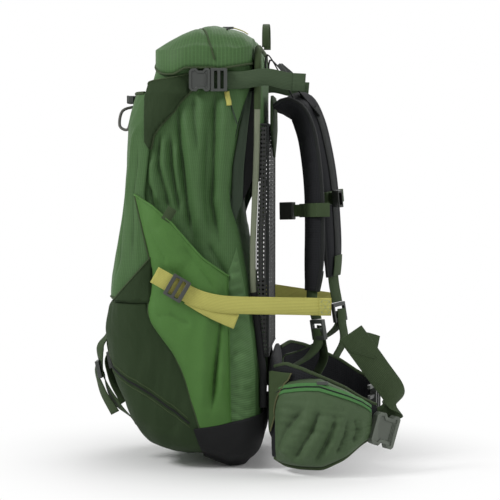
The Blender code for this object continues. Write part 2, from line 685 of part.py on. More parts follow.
def build_lower_strap(side):
    s = SIDES[side]
    x = BAG_HALF + SIDE_POCKET_DEPTH + 2 * GAP + WEB_THICK / 2
    line = [(s * x, y, z) for y, z in ((-0.030, 0.286), (-0.012, 0.276), (0.008, 0.264), (0.030, 0.253), (0.055, 0.246),
                                       (0.085, 0.243), (0.150, 0.242), (0.222, 0.241))]
    ribbon("lower_strap_" + side, line, (0, 0.3, 1), WEBBING, "yellow")
    spot = Vector((s * (x + WEB_THICK / 2 + GAP + 0.003), 0.003, 0.267))
    away = Vector((0, 0.86, -0.5)).normalized()
    pivot = spot - away * 0.014 - Vector((s * 0.003, 0, 0))
    tilt = assembly("lower_lock_tilt_" + side, pivot)
    hang(ladder("lower_lock_" + side, basis(spot, away, (s, 0, 0)), 0.033, 0.028, 0.006, pivot), tilt)


def build_pad_strap(side):
    """Webbing with a lock that hangs on the lower front and holds a sleeping pad."""
    s = SIDES[side]
    x = s * 0.062
    skin = LOWER_PANEL_THICK + GAP + WEB_THICK / 2 + 0.0016

    def on_panel(z, more=0.0):
        return (x, extents(z)[0] - skin - more, z)

    line = [on_panel(0.205, -0.0004), on_panel(0.188), on_panel(0.172, 0.004), on_panel(0.150, 0.006), on_panel(0.126, 0.008),
            on_panel(0.104, 0.008), on_panel(0.084, 0.006), on_panel(0.066, 0.003), on_panel(0.056, 0.0012)]
    ribbon("pad_strap_" + side, line, (1, 0, 0), NARROW_WEBBING, "web")
    spot = Vector(on_panel(0.138, 0.0100))
    run = Vector(on_panel(0.126, 0.008)) - Vector(on_panel(0.150, 0.006))
    pivot = spot - run.normalized() * 0.014
    tilt = assembly("pad_lock_tilt_" + side, pivot)
    hang(ladder("pad_lock_" + side, basis(spot, run, (0, -1, -0.2)), 0.028, 0.026, 0.006, pivot), tilt)


def build_bungee():
    """The elastic tool cord on the front pocket, its lock and the lock's button."""
    z = FRONT_POCKET_TOP - 0.030
    front = extents(z)[0] - FRONT_POCKET_DEPTH
    knots = [Vector((0.045, front - 0.0006, z + 0.0125)), Vector((0.052, front - 0.020, z + 0.006)), Vector((0.056, front - 0.024, z - 0.016)),
             Vector((0.060, front - 0.012, z - 0.022)), Vector((0.064, front - 0.006, z - 0.006)), Vector((0.068, front - 0.0006, z + 0.0125))]
    line = []
    for i in range(len(knots) - 1):
        p0, p1, p2, p3 = knots[max(i - 1, 0)], knots[i], knots[i + 1], knots[min(i + 2, len(knots) - 1)]
        for u in np.linspace(0, 1, 6)[: 6 if i == len(knots) - 2 else 5]:
            line.append(0.5 * (2 * p1 + (p2 - p0) * u + (2 * p0 - 5 * p1 + 4 * p2 - p3) * u**2 + (3 * p1 - p0 - 3 * p2 + p3) * u**3))
    tube("tool_cord", line, 0.0022, "cord")
    spot = Vector((0.0565, front - 0.0044, z + 0.022))
    lock = block((0.032, 0.014, 0.012), spot, name="cord_lock")
    combine(lock, block((0.018, 0.009, 0.03), spot + Vector((0.012, 0, 0))), "DIFFERENCE")
    press = spot + Vector((0.0175, 0, 0))
    button = block((0.012, 0.0082, 0.010), press, name="cord_lock_button", colour="cord", pivot=press)
    slide = assembly("cord_lock_travel", press)
    hang(button, slide)


def wing_place(side, x, y):
    """A plan point of the right wing moved to this side and folded by its rest angle."""
    fold = WING_FOLD[side]
    dx, dy = x - WING_HINGE[0], y - WING_HINGE[1]
    turned = (dx * math.cos(-fold) - dy * math.sin(-fold), dx * math.sin(-fold) + dy * math.cos(-fold))
    return SIDES[side] * (WING_HINGE[0] + turned[0]), WING_HINGE[1] + turned[1]


def wing_frame(i):
    """Plan point and outward direction of the right wing at station i."""
    last = len(WING_LINE) - 1
    here = Vector(WING_LINE[i][:2])
    run = (Vector(WING_LINE[min(i + 1, last)][:2]) - Vector(WING_LINE[max(i - 1, 0)][:2])).normalized()
    return here, Vector((run.y, -run.x)), run


def wing_ring(side, i, near, far, low, high, round_off):
    here, out, run = wing_frame(i)
    a, b = here + out * near, here + out * far
    middle = (near + far) / 2
    m = here + out * middle
    shape = ((a, low + round_off), (m, low), (b, low + round_off), (b, high - round_off), (m, high), (a, high - round_off))
    return [(*wing_place(side, p.x, p.y), z) for p, z in shape]


def build_hip(side):
    pivot = (SIDES[side] * WING_HINGE[0], WING_HINGE[1], 0.085)
    hinge = assembly("hip_hinge_" + side, pivot)
    rings = []
    for i, (x, y, low, high) in enumerate(WING_LINE):
        rings.append(wing_ring(side, i, -WING_THICK / 2, WING_THICK / 2, low, high, 0.005))
    hang(loft("hip_wing_" + side, rings, "black", pivot), hinge)
    skin = WING_THICK / 2 + GAP
    pocket = []
    # Depth, foot and head of the pocket at the wing's stations 1 to 5.
    shape = ((1, 0.006, 0.020, 0.010), (2, 0.8, 0.004, 0.014), (3, 1.0, 0.004, 0.010), (4, 0.8, 0.004, 0.008), (5, 0.006, 0.010, 0.014))
    for i, depth, foot, head in shape:
        x, y, low, high = WING_LINE[i]
        deep = depth * BELT_POCKET_DEPTH if depth > 0.1 else depth
        pocket.append(wing_ring(side, i, skin, skin + deep, low + foot, high - head, min(0.012, deep)))
    hang(loft("hip_pocket_" + side, pocket, "olive", pivot), hinge)
    here, out, run = wing_frame(3)
    top = WING_LINE[3][3] - 0.010
    spot = here + out * (skin + BELT_POCKET_DEPTH * 0.5)
    px, py = wing_place(side, spot.x, spot.y)
    slider = block((0.007, 0.016, 0.004), (px, py, top + 0.0047), name="hip_zip_slider_" + side, colour="bright",
                   pivot=(px, py, top + 0.0047))
    hang(slider, hinge)
    build_belt_end(side, hinge, pivot)


def build_belt_end(side, hinge, pivot):
    """The belt webbing beyond the wing's tip, its doubled tail and its half of the buckle."""
    last = len(WING_LINE) - 1
    x, y, low, high = WING_LINE[last]
    here, out, run = wing_frame(last)

    def spot(along, outward, z):
        p = here + run * along + out * outward
        return (*wing_place(side, p.x, p.y), z)

    mid = (low + high) / 2
    if side == "right":
        line = [spot(0.0008, 0, mid), spot(0.010, 0, mid), spot(0.018, 0, mid + 0.004), spot(0.027, 0.001, mid + 0.012), spot(0.030, 0.006, mid + 0.022),
                spot(0.022, 0.011, mid + 0.040), spot(-0.006, 0.014, mid + 0.072), spot(-0.056, 0.01936, mid + 0.1291)]
        edge = [(0, 0, 1), (0, 0, 1), (0, 0.1, 1), (0, 0.3, 1), (0, 0.55, 0.8), (0, 0.8, 0.62), (0, 0.8, 0.6), (0, 0.8, 0.6)]
        hang(ribbon("belt_webbing_right", line, edge, BELT_WEBBING, "web", pivot=pivot), hinge)
    else:
        line = [spot(0.0008, 0, mid), spot(0.008, 0, mid), spot(0.015, -0.003, mid), spot(0.020, -0.009, mid), spot(0.0215, -0.017, mid)]
        hang(ribbon("belt_webbing_left", line, (0, 0, 1), BELT_WEBBING, "web", pivot=pivot), hinge)
    ahead = Vector(spot(0.03, 0, mid)) - Vector(spot(0, 0, mid))
    outside = Vector(spot(0, 0.02, mid)) - Vector(spot(0, 0, mid))
    if side == "left":
        ahead, outside = Vector(spot(0.004, -0.03, mid)) - Vector(spot(0, 0, mid)), ahead
    wide = 0.048
    if side == "right":
        centre = Vector(spot(0.0050, 0.0126, mid - 0.014))
        place = basis(centre, ahead - Vector((0, 0, 0.010)), outside)
        body = block((0.040, wide, 0.012), (0, 0, 0), place, "hip_buckle_female", "plastic", pivot)
        combine(body, block((0.030, wide - 0.012, 0.0065), (0.008, 0, 0), place), "DIFFERENCE")
        combine(body, block((0.010, wide + 0.01, 0.0065), (-0.002, 0, 0), place), "DIFFERENCE")
        hang(body, hinge)
        return
    centre = Vector(line[-1]) + ahead.normalized() * 0.0136
    place = basis(centre, ahead, outside)
    frame = ladder("hip_buckle_male", place, wide, 0.026, 0.010, pivot)
    combine(frame, block((0.026, 0.006, 0.005), (0.024, 0, 0), place), "UNION")
    hang(frame, hinge)
    for name, shift in (("lower", 1), ("upper", -1)):
        root = place @ Vector((0.0136, shift * (wide / 2 - 0.0075), 0))
        prong = block((0.024, 0.006, 0.0055), (0.0136 + 0.012, shift * (wide / 2 - 0.0075), 0), place,
                      "hip_buckle_prong_" + name, "plastic", root)
        hang(prong, hinge)


def main():
    clear_scene()
    build_bag()
    build_boot()
    build_front()
    build_lid()
    build_back()
    build_bungee()
    for side in SIDES:
        build_side_pocket(side)
        build_shoulder(side)
        build_upper_strap(side)
        build_lower_strap(side)
        build_pad_strap(side)
        build_hip(side)


main()
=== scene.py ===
import json
import math

import bmesh
import bpy
import numpy as np
from mathutils import Matrix, Vector, noise


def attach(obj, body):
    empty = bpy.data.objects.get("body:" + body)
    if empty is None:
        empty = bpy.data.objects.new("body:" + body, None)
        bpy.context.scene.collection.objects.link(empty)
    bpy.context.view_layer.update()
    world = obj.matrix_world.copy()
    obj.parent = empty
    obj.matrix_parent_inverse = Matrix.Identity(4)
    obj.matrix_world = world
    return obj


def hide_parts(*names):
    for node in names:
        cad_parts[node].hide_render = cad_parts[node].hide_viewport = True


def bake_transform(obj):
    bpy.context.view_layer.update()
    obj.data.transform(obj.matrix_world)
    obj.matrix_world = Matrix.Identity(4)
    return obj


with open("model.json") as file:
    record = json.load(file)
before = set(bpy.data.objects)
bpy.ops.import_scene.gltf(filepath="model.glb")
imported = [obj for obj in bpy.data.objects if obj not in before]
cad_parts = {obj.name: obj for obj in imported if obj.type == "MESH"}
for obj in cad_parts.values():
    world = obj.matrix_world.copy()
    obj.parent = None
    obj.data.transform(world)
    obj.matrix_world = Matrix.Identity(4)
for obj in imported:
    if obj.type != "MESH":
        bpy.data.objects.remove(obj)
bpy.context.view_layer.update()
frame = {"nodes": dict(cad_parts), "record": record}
SIDES = {"right": 1.0, "left": -1.0}

# The bag's sections: height, front, rear, half width. The front hangs in a little from the solid's.
SECTIONS = (
    (.0055, -.019, .094, .098), (.020, -.040, .112, .120), (.045, -.055, .118, .132),
    (.085, -.074, .1205, .140), (.140, -.096, .120, .140), (.200, -.104, .114, .140),
    (.260, -.095, .105, .140), (.320, -.081, .093, .140), (.380, -.069, .084, .140),
    (.440, -.062, .086, .140), (.500, -.057, .097, .140), (.540, -.048, .106, .132),
    (.575, -.038, .108, .132), (.600, -.029, .108, .132))
# Height and front of the lower panel's solid, where its straps and locks hang.
PANEL_FRONT = ((.045, -.064), (.085, -.085), (.140, -.108), (.200, -.116), (.260, -.100))
FRONT_CORNER, REAR_CORNER = .045, .030
BAG_HALF, TOP_HALF = .140, .132
BASE_Z, FLOOR_Z = .0056, .0002
# Depth, and how far the base rises there in front of the boot.
BASE_RISE = ((.034, .015), (.074, 0))
# How far folds of the bag go in and out.
FOLD_IN, FOLD_OUT = -.013, .0095
# The front edge of the side pocket: height and depth.
POCKET_EDGE = (
    (.066, .033), (.100, .026), (.126, .019), (.155, .012), (.176, .004), (.195, -.009), (.210, -.024),
    (.226, -.039), (.245, -.043), (.270, -.038), (.300, -.035), (.320, -.040), (.360, -.051),
    (.398, -.0625))
POCKET_FOOT, POCKET_TIP = POCKET_EDGE[0][0], POCKET_EDGE[-1][0]
# The upper hem of the side pocket: depth and height.
POCKET_RIM = (
    (-.0636, .3998), (-.0342, .3833), (-.0069, .3603), (.0227, .3258), (.038, .309), (.0735, .283),
    (.12, .25))
# The side edge of the front pocket: height and depth. Then how full the pocket is at each height.
FRONT_EDGE = (
    (.246, -.040), (.300, -.036), (.350, -.040), (.400, -.046), (.464, -.0385), (.484, -.034),
    (.497, -.026), (.518, -.006), (.531, .002), (.546, .016))
FRONT_FULL = ((.2465, .5), (.30, .6), (.38, .85), (.46, 1.0))
# The olive wing over the pocket's corner: depth, its lower edge and its upper edge.
WING_SHAPE = (
    (-.0470, .4750, .5400), (-.0414, .4660, .5605), (-.0371, .4637, .5620), (-.0328, .4838, .5632),
    (-.0241, .4967, .5645), (-.0040, .5183, .5680), (.0046, .5312, .5700), (.0189, .5456, .5735),
    (.0240, .5500, .5745))
GORE_TOP = ((-.094, .2466), (-.0385, .3086), (-.036, .3100))
# The lid's height: its share at each distance from the middle, and its crown from front to rear.
LID_SHARE = ((0, 1.0), (.05, .985), (.09, .93), (.112, .81), (.128, .61), (.138, .36))
LID_CROWN = (
    (0, .021), (.05, .028), (.165, .041), (.387, .0575), (.56, .0655), (.74, .066), (.86, .0620),
    (.95, .0555), (1.0, .046))
LID_FOOT = (
    (-.05, .572), (-.005, .572), (.012, .581), (.052, .581), (.060, .5785), (.072, .581), (.11, .588))
LID_FRONT, LID_REAR, LID_BASE = -.048, .1072, .582
# The middle of the shoulder strap, and how the left one stands higher and further out.
STRAP_LINE = (
    (.050, .146, .520), (.055, .160, .524), (.061, .174, .513), (.069, .185, .486), (.077, .192, .445),
    (.083, .196, .400), (.085, .197, .346), (.087, .196, .295), (.089, .193, .258))
STRAP_RISE = {"right": 0.0, "left": .026}
STRAP_OUT = {"right": 0.0, "left": .030}
PAD_TILT, LOCK_TURN = math.radians(22), math.radians(38)
# The frame rod: height and depth.
ROD_LINE = (
    (.092, .1235), (.140, .1235), (.200, .1165), (.262, .1085), (.330, .1085), (.400, .1115),
    (.470, .1140), (.585, .1155))
ROD_X, ROD_RADIUS, SLEEVE_RADIUS = .1225, .0045, .0051
NET_LOW, NET_HIGH, NET_HALF = .166, .500, .1232
UPPER_STRAP_Z = .5635
LOWER_SAG = {"right": 0.0, "left": .018}
# The belt wing: across, along, lower edge and upper edge.
WING_LINE = (
    (.1261, .1372, .020, .150), (.150, .158, .012, .158), (.162, .180, .010, .152),
    (.1665, .210, .010, .140), (.163, .240, .024, .126), (.154, .264, .044, .110),
    (.140, .286, .056, .098))
WING_HINGE = (.1255, .1366)
WING_FOLD = {"right": 0.0, "left": math.radians(7)}
# The belt pocket's share of the wing, and the middle of its zip: depth and height.
POCKET_START, POCKET_END = .10, .93
ZIP_ARCH = (
    (.140, .108), (.164, .1234), (.180, .1275), (.1913, .1290), (.210, .1292), (.220, .1277),
    (.2487, .1140), (.2703, .0975), (.290, .080))

# Folds: the points along each, half width, and how far it stands out or in.
# On the bag's side, points are depth and height.
SIDE_FOLDS = (
    (((.0003, .524), (.006, .464), (.0103, .428), (.0146, .385), (.0232, .334)), .0055, -.0135),
    (((.010, .522), (.019, .464), (.023, .428), (.027, .385), (.036, .334)), .0105, .0080),
    (((.054, .550), (.054, .503), (.053, .451), (.049, .392), (.062, .325)), .0065, -.0125),
    (((.066, .546), (.069, .503), (.065, .440), (.063, .390), (.076, .320)), .0105, .0092),
    (((.036, .548), (.034, .480), (.033, .420), (.042, .350)), .0080, .0044),
    (((.022, .540), (.026, .500), (.031, .460)), .0045, -.0050),
    (((.044, .500), (.042, .450), (.040, .400), (.046, .345)), .0040, -.0046),
    (((-.027, .486), (-.0284, .442), (-.017, .406), (-.0098, .372)), .0050, -.0110),
    (((-.0198, .480), (-.0190, .440), (-.0120, .406), (-.002, .370)), .0065, .0060),
    (((-.0098, .490), (-.0083, .442), (-.0026, .406), (.004, .372)), .0045, -.0095),
    (((-.001, .470), (.000, .430), (.004, .395)), .0050, .0042),
    (((-.0428, .414), (-.036, .379), (-.024, .362)), .0045, -.0070),
    (((-.036, .450), (-.036, .415), (-.028, .386)), .0055, .0040),
    (((.044, .330), (.060, .300), (.076, .276)), .0060, -.0060))
# Near the front pocket's edges, points are share of its width and height.
FRONT_PLEATS = (
    (((.055, .470), (.060, .420), (.075, .360), (.080, .310)), .0090, -.0060),
    (((.090, .500), (.098, .440), (.110, .380)), .0120, .0030),
    (((.130, .480), (.135, .420), (.150, .340), (.155, .280)), .0090, -.0048),
    (((.040, .400), (.048, .350), (.060, .300)), .0080, .0030))
# On the side pocket, points are depth and height.
POCKET_FOLDS = (
    (((.066, .236), (.062, .205), (.056, .150), (.050, .086)), .0046, -.0155),
    (((.074, .220), (.070, .160), (.066, .100)), .0090, .0050),
    (((.046, .240), (.042, .190), (.040, .130), (.042, .092)), .0110, .0045),
    (((-.034, .300), (.000, .288), (.040, .238), (.064, .210)), .0060, -.0050),
    (((-.046, .360), (-.030, .330), (-.012, .300)), .0050, -.0050),
    (((-.030, .352), (-.006, .325), (.012, .296)), .0080, .0036),
    (((-.034, .226), (-.006, .228), (.024, .212)), .0050, -.0042),
    (((.010, .330), (.030, .300), (.058, .262)), .0055, -.0040))
# On the belt pocket, points are along it and up it.
HIP_CREASES = (
    (((.010, .018), (.030, .048), (.058, .078)), .0060, -.0095),
    (((.020, .010), (.044, .040), (.070, .074)), .0110, .0065),
    (((.040, .008), (.062, .040), (.078, .074)), .0055, -.0092),
    (((.056, .008), (.076, .040), (.090, .070)), .0100, .0060),
    (((.070, .008), (.086, .034), (.098, .066)), .0055, -.0085),
    (((.088, .012), (.100, .040), (.108, .068)), .0080, .0048),
    (((.098, .012), (.110, .038), (.114, .066)), .0045, -.0072),
    (((.122, .020), (.128, .044), (.124, .066)), .0045, -.0062),
    (((.134, .022), (.138, .044), (.134, .062)), .0070, .0036))
# The bag's rear edge at the side, where the fabric turns in towards the frame: height and depth.
TURN_LINE = (
    (.330, .110), (.348, .0874), (.380, .0790), (.409, .0738), (.440, .0748), (.475, .0820),
    (.506, .0895), (.552, .104), (.600, .120))


class Tree:
    """Short calls for shader nodes."""

    def __init__(self, name, rough, sheen=0.0, shine=.5):
        self.material = bpy.data.materials.new(name)
        self.material.use_nodes = True
        self.nodes = self.material.node_tree.nodes
        self.links = self.material.node_tree.links
        self.shader = self.nodes["Principled BSDF"]
        for socket, value in (("Roughness", rough), ("Specular IOR Level", shine),
                              ("Sheen Weight", sheen), ("Sheen Roughness", .4)):
            self.shader.inputs[socket].default_value = value

    def put(self, value, socket):
        if isinstance(value, bpy.types.NodeSocket):
            self.links.new(value, socket)
        else:
            socket.default_value = value

    def node(self, kind, values=(), operation=None):
        """The outputs of a new node, with its first inputs linked or set."""
        made = self.nodes.new("ShaderNode" + kind)
        if operation:
            made.operation = operation
        for value, socket in zip(values, made.inputs):
            self.put(value, socket)
        return made.outputs

    def math(self, operation, a, b=0.0):
        return self.node("Math", (a, b), operation)[0]

    def mul(self, a, b):
        return self.math("MULTIPLY", a, b)

    def add(self, a, b):
        return self.math("ADD", a, b)

    def split(self, coordinate):
        return self.node("SeparateXYZ", (self.node("TexCoord")[coordinate],))[:2]

    def noise(self, source, scale, detail):
        node = self.nodes.new("ShaderNodeTexNoise")
        for socket, value in (("Vector", source), ("Scale", scale), ("Detail", detail)):
            self.put(value, node.inputs[socket])
        return node.outputs[0]

    def mix(self, share, a, b):
        node = self.nodes.new("ShaderNodeMix")
        node.data_type = "RGBA"
        for value, k in ((share, 0), (a, 6), (b, 7)):
            self.put((*value, 1) if isinstance(value, tuple) else value, node.inputs[k])
        return node.outputs[2]

    def bump(self, height, strength, distance, under=None):
        node = self.nodes.new("ShaderNodeBump")
        for socket, value in (("Strength", strength), ("Distance", distance), ("Height", height)):
            self.put(value, node.inputs[socket])
        if under is not None:
            self.put(under, node.inputs["Normal"])
        return node.outputs[0]

    def cell(self, value, pitch):
        """How far a value is through its repeat, from 0 to 1."""
        return self.math("FRACT", self.math("DIVIDE", value, pitch))

    def stripe(self, value, pitch, share):
        """1 on a line of that share of the pitch, else 0."""
        return self.math("LESS_THAN", self.cell(value, pitch), share)

    def wave(self, value, pitch):
        return self.math("SINE", self.mul(value, 2 * math.pi / pitch))

    def dots(self, u, v, pitch):
        """Squared distance from the nearest dot of a square pattern, in pitches."""
        a, b = [self.math("SUBTRACT", self.cell(value, pitch), .5) for value in (u, v)]
        return self.add(self.mul(a, a), self.mul(b, b))

    def finish(self, colour, normal):
        self.links.new(colour, self.shader.inputs["Base Color"])
        self.links.new(normal, self.shader.inputs["Normal"])
        return self.material


def shade(colour, factor):
    return tuple(min(1.0, c * factor) for c in colour)


def fabric(name, colour, kind, rough=.72, sheen=.012, coordinate="UV"):
    """Woven, ripstop, stretch, air mesh or webbing, with its own scale of threads and painted shade in its
    hollows.
    """
    tree = Tree(name, rough, sheen, .22)
    u, v = tree.split(coordinate)
    spot = tree.node("TexCoord")["Object"]
    tone = tree.mix(tree.noise(spot, 9.0, 5.0), shade(colour, .82), shade(colour, 1.20))
    tone = tree.mix(tree.mul(tree.noise(spot, 420.0, 2.0), .35), tone, shade(colour, .62))
    # Hollows get painted shade, and creases are drawn out downwards.
    painted_crease_shade = tree.node("MapRange", (tree.node("NewGeometry")["Pointiness"], .43, .495, .62, 0.0))[0]
    tone = tree.mix(painted_crease_shade, tone, shade(colour, .22))
    drawn = tree.node("VectorMath", (spot, (1, 1, .35)), "MULTIPLY")[0]
    base = tree.bump(tree.add(tree.noise(spot, 34.0, 6.0), tree.noise(drawn, 62.0, 4.0)), .40, .0026)
    if kind == "ripstop":
        cross = tree.mul(tree.stripe(u, .0060, .10), .45)
        lines = tree.math("MAXIMUM", cross, tree.stripe(v, .0030, .24))
        tone = tree.mix(tree.mul(lines, .36), tone, shade(colour, 1.8))
        threads = tree.add(tree.wave(u, .0009), tree.wave(v, .0009))
        normal = tree.bump(tree.add(tree.mul(threads, .12), lines), .5, .0004, base)
    elif kind == "crossrip":
        lines = tree.stripe(u, .0034, .26)
        tone = tree.mix(tree.mul(lines, .34), tone, shade(colour, 1.8))
        normal = tree.bump(tree.add(tree.mul(tree.wave(v, .0010), .12), lines), .5, .0004, base)
    elif kind == "stretch":
        diagonal = tree.wave(tree.add(u, v), .0012)
        tone = tree.mix(tree.mul(tree.add(diagonal, 1.0), .09), tone, shade(colour, 1.6))
        normal = tree.bump(diagonal, .25, .0003, base)
    elif kind == "airmesh":
        hole = tree.math("LESS_THAN", tree.dots(u, v, .0036), .075)
        tone = tree.mix(hole, shade(colour, 1.55), shade(colour, .45))
        normal = tree.bump(tree.math("SUBTRACT", 1.0, hole), .6, .0008, base)
    elif kind == "web":
        rib = tree.wave(v, .0021)
        twill = tree.wave(tree.add(u, tree.mul(v, .7)), .0016)
        tone = tree.mix(tree.mul(tree.add(rib, 1.0), .22), tone, shade(colour, 1.5))
        tone = tree.mix(tree.mul(tree.add(twill, 1.0), .14), tone, shade(colour, .55))
        normal = tree.bump(tree.add(rib, twill), .5, .0005, base)
    else:
        threads = tree.add(tree.wave(u, .0013), tree.wave(v, .0013))
        tone = tree.mix(tree.mul(tree.add(threads, 2.0), .07), tone, shade(colour, 1.8))
        normal = tree.bump(threads, .4, .0004, base)
    return tree.finish(tone, normal)


def netting(name, colour):
    """Open net: round holes in rows, seen through."""
    tree = Tree(name, .8)
    far = tree.dots(*tree.split("UV"), .0062)
    fine = tree.noise(tree.node("TexCoord")["UV"], 900.0, 2.0)
    tone = tree.mix(fine, shade(colour, .7), shade(colour, 1.3))
    tree.links.new(tree.math("GREATER_THAN", far, .078), tree.shader.inputs["Alpha"])
    return tree.finish(tone, tree.bump(far, .4, .0008))


def moulded(name, colour, rough=.42):
    """Satin moulded plastic with a fine grain and worn, paler edges."""
    tree = Tree(name, rough)
    spot = tree.node("TexCoord")["Object"]
    tone = tree.mix(tree.noise(spot, 60.0, 3.0), shade(colour, .85), shade(colour, 1.2))
    worn = tree.math("GREATER_THAN", tree.node("NewGeometry")["Pointiness"], .54)
    tone = tree.mix(tree.mul(worn, .35), tone, shade(colour, 1.9))
    return tree.finish(tone, tree.bump(tree.noise(spot, 1400.0, 2.0), .12, .0003))


MATERIALS = {
    "ripstop": fabric("ripstop_green", (.051, .110, .036), "ripstop", .60, .015),
    "strip": fabric("strip_ripstop", (.074, .150, .054), "crossrip", .58, .015),
    "bright": fabric("stretch_green", (.064, .158, .034), "stretch", .62, .015),
    "olive": fabric("olive_weave", (.040, .062, .024), "weave", .8),
    "dark_olive": fabric("dark_olive_weave", (.020, .037, .013), "weave", .8),
    "boot": fabric("boot_weave", (.0045, .0048, .0052), "weave", .7),
    "pad": fabric("air_mesh", (.0070, .0075, .0088), "airmesh", .85),
    "hip": fabric("belt_ripstop", (.058, .096, .044), "stretch", .62),
    "web": fabric("olive_webbing", (.040, .064, .026), "web", .75),
    "dark_web": fabric("dark_webbing", (.012, .014, .013), "web", .75),
    "strap": fabric("strap_webbing", (.050, .080, .040), "web", .7),
    # The gusset's dark colour is painted shade behind the bag's turned edge.
    "gusset": fabric("shaded_gusset", (.030, .046, .030), "weave", .75),
    # Painted sheen: the pale grey-green on the sheet beside the bag's rear corner.
    "painted_sheen": fabric("painted_sheen_weave", (.046, .068, .044), "weave", .55),
    "piping": fabric("tan_piping", (.13, .13, .06), "web", .7),
    "yellow": fabric("yellow_webbing", (.46, .44, .115), "web", .72),
    "binding": fabric("binding_tape", (.052, .078, .034), "web", .75),
    "zip": fabric("zip_tape", (.070, .200, .060), "web", .6),
    "net": netting("tension_net", (.014, .015, .014)),
    "plastic": moulded("grey_plastic", (.030, .034, .030)),
    "buckle": moulded("olive_plastic", (.070, .082, .064), .5),
    "sleeve": fabric("frame_sleeve", (.17, .19, .13), "weave", .8, 0.0, "Object"),
    "cord": fabric("cord_braid", (.11, .11, .10), "weave", .8, 0.0, "Object"),
    "thread": moulded("thread", (.22, .26, .15), .8),
}


def table(value, pairs, column=1):
    """A table's value at a place, on straight lines between its points."""
    return float(np.interp(value, [p[0] for p in pairs], [p[column] for p in pairs]))


def smooth_table(pairs, spread, column=1):
    """A function through a table's points, with its corners rounded."""
    x, y = [np.array([p[k] for p in pairs]) for k in (0, column)]
    dense = np.linspace(x[0], x[-1], 400)
    line = np.interp(dense, x, y)
    reach = int(spread / (dense[1] - dense[0]))
    kernel = np.hanning(2 * reach + 1)[1:-1]
    padded = np.concatenate([2 * line[0] - line[reach:0:-1], line, 2 * line[-1] - line[-2:-reach - 2:-1]])
    line = np.convolve(padded, kernel / kernel.sum(), "same")[reach:reach + 400]
    return lambda value: float(np.interp(value, dense, line))


FRONT, REAR, HALF = [smooth_table(SECTIONS, spread, k) for k, spread in ((1, .022), (2, .022), (3, .014))]
EDGE = smooth_table(POCKET_EDGE, .012)


def clamp(value, low=0.0, high=1.0):
    return min(high, max(low, value))


def shares(count):
    """Even steps from 0 to 1."""
    return np.linspace(0, 1, count)


def near(value, middle, width):
    return math.exp(-((value - middle) / width) ** 2)


def lumps(x, y, z):
    """Even noise, from about -1 to 1."""
    return noise.noise(Vector((x, y, z)))


def oblong(count, power_x, power_y):
    """Points around a rounded oblong from -1 to 1; a lower power makes its sides flatter."""
    for a in np.linspace(0, 2 * math.pi, count, endpoint=False):
        c, d = math.cos(a), math.sin(a)
        yield math.copysign(abs(c) ** power_x, c), math.copysign(abs(d) ** power_y, d)


def way(line):
    """The way along a line up to each of its points."""
    return np.concatenate([[0], np.cumsum(np.linalg.norm(np.diff(line, axis=0), axis=1))])


def cubic(a, b, c, d, t):
    """A point on the smooth curve from b to c."""
    return .5 * (2 * b + (c - a) * t + (2 * a - 5 * b + 4 * c - d) * t**2 + (3 * b - a - 3 * c + d) * t**3)


def spline(points, count):
    """A smooth line of that many points through the given ones, evenly spaced."""
    points = [np.array(p, float) for p in points]
    ends = [2 * points[0] - points[1]] + points + [2 * points[-1] - points[-2]]
    line = [cubic(*ends[i:i + 4], t) for i in range(len(points) - 1)
            for t in np.linspace(0, 1, 24, endpoint=False)]
    line = np.array(line + [points[-1]])
    run = way(line)
    spots = np.linspace(0, run[-1], count)
    return [Vector([np.interp(s, run, line[:, k]) for k in range(line.shape[1])]) for s in spots]


def heading(line, i):
    """The direction of a line at one of its points."""
    return (line[min(i + 1, len(line) - 1)] - line[max(i - 1, 0)]).normalized()


def add(name, data):
    made = bpy.data.objects.new(name, data)
    bpy.context.scene.collection.objects.link(made)
    return made


def place(name, data, material, body):
    """A new piece in its finish, on its body."""
    made = add(name, data)
    data.materials.append(MATERIALS[material])
    if body:
        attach(made, body)
    return made


def grid(name, rows, material, body, closed=False, thick=0.0, cap="", offset=-1.0, inside=None):
    """A smooth skin over rows of points, faced away from a point inside, with cloth coordinates in metres."""
    rows = [[Vector(p) for p in row] for row in rows]
    count = len(rows[0])
    points = [p for row in rows for p in row]
    along, across = [0.0], [0.0]
    for row_a, row_b in zip(rows, rows[1:]):
        along.append(along[-1] + sum((p - q).length for p, q in zip(row_a, row_b)) / count)
    middle = rows[len(rows) // 2]
    for i in range(count):
        across.append(across[-1] + (middle[(i + 1) % count] - middle[i]).length)
    faces, cloth = [], []
    for i in range(len(rows) - 1):
        for j in range(count if closed else count - 1):
            corners = ((i, j), (i, j + 1), (i + 1, j + 1), (i + 1, j))
            faces.append([a * count + b % count for a, b in corners])
            cloth.append([(along[a], across[b]) for a, b in corners])
    for end, start, order in (("first", 0, 1), ("last", len(points) - count, -1)):
        if cap in ("both", end):
            ring = list(range(start, start + count))[::order]
            faces.append(ring)
            cloth.append([points[p].xy for p in ring])
    data = bpy.data.meshes.new(name)
    data.from_pydata(points, [], faces)
    layer = data.uv_layers.new(name="cloth")
    for face, spots in zip(data.polygons, cloth):
        for loop, spot in zip(face.loop_indices, spots):
            layer.data[loop].uv = spot
    work = bmesh.new()
    work.from_mesh(data)
    bmesh.ops.recalc_face_normals(work, faces=work.faces)
    work.to_mesh(data)
    work.free()
    for face in data.polygons:
        face.use_smooth = True
    if inside and sum((f.center - Vector(inside)).dot(f.normal) * f.area for f in data.polygons) < 0:
        data.flip_normals()
    made = place(name, data, material, body)
    if thick:
        wall = made.modifiers.new("wall", "SOLIDIFY")
        wall.thickness, wall.offset = thick, offset
    return made


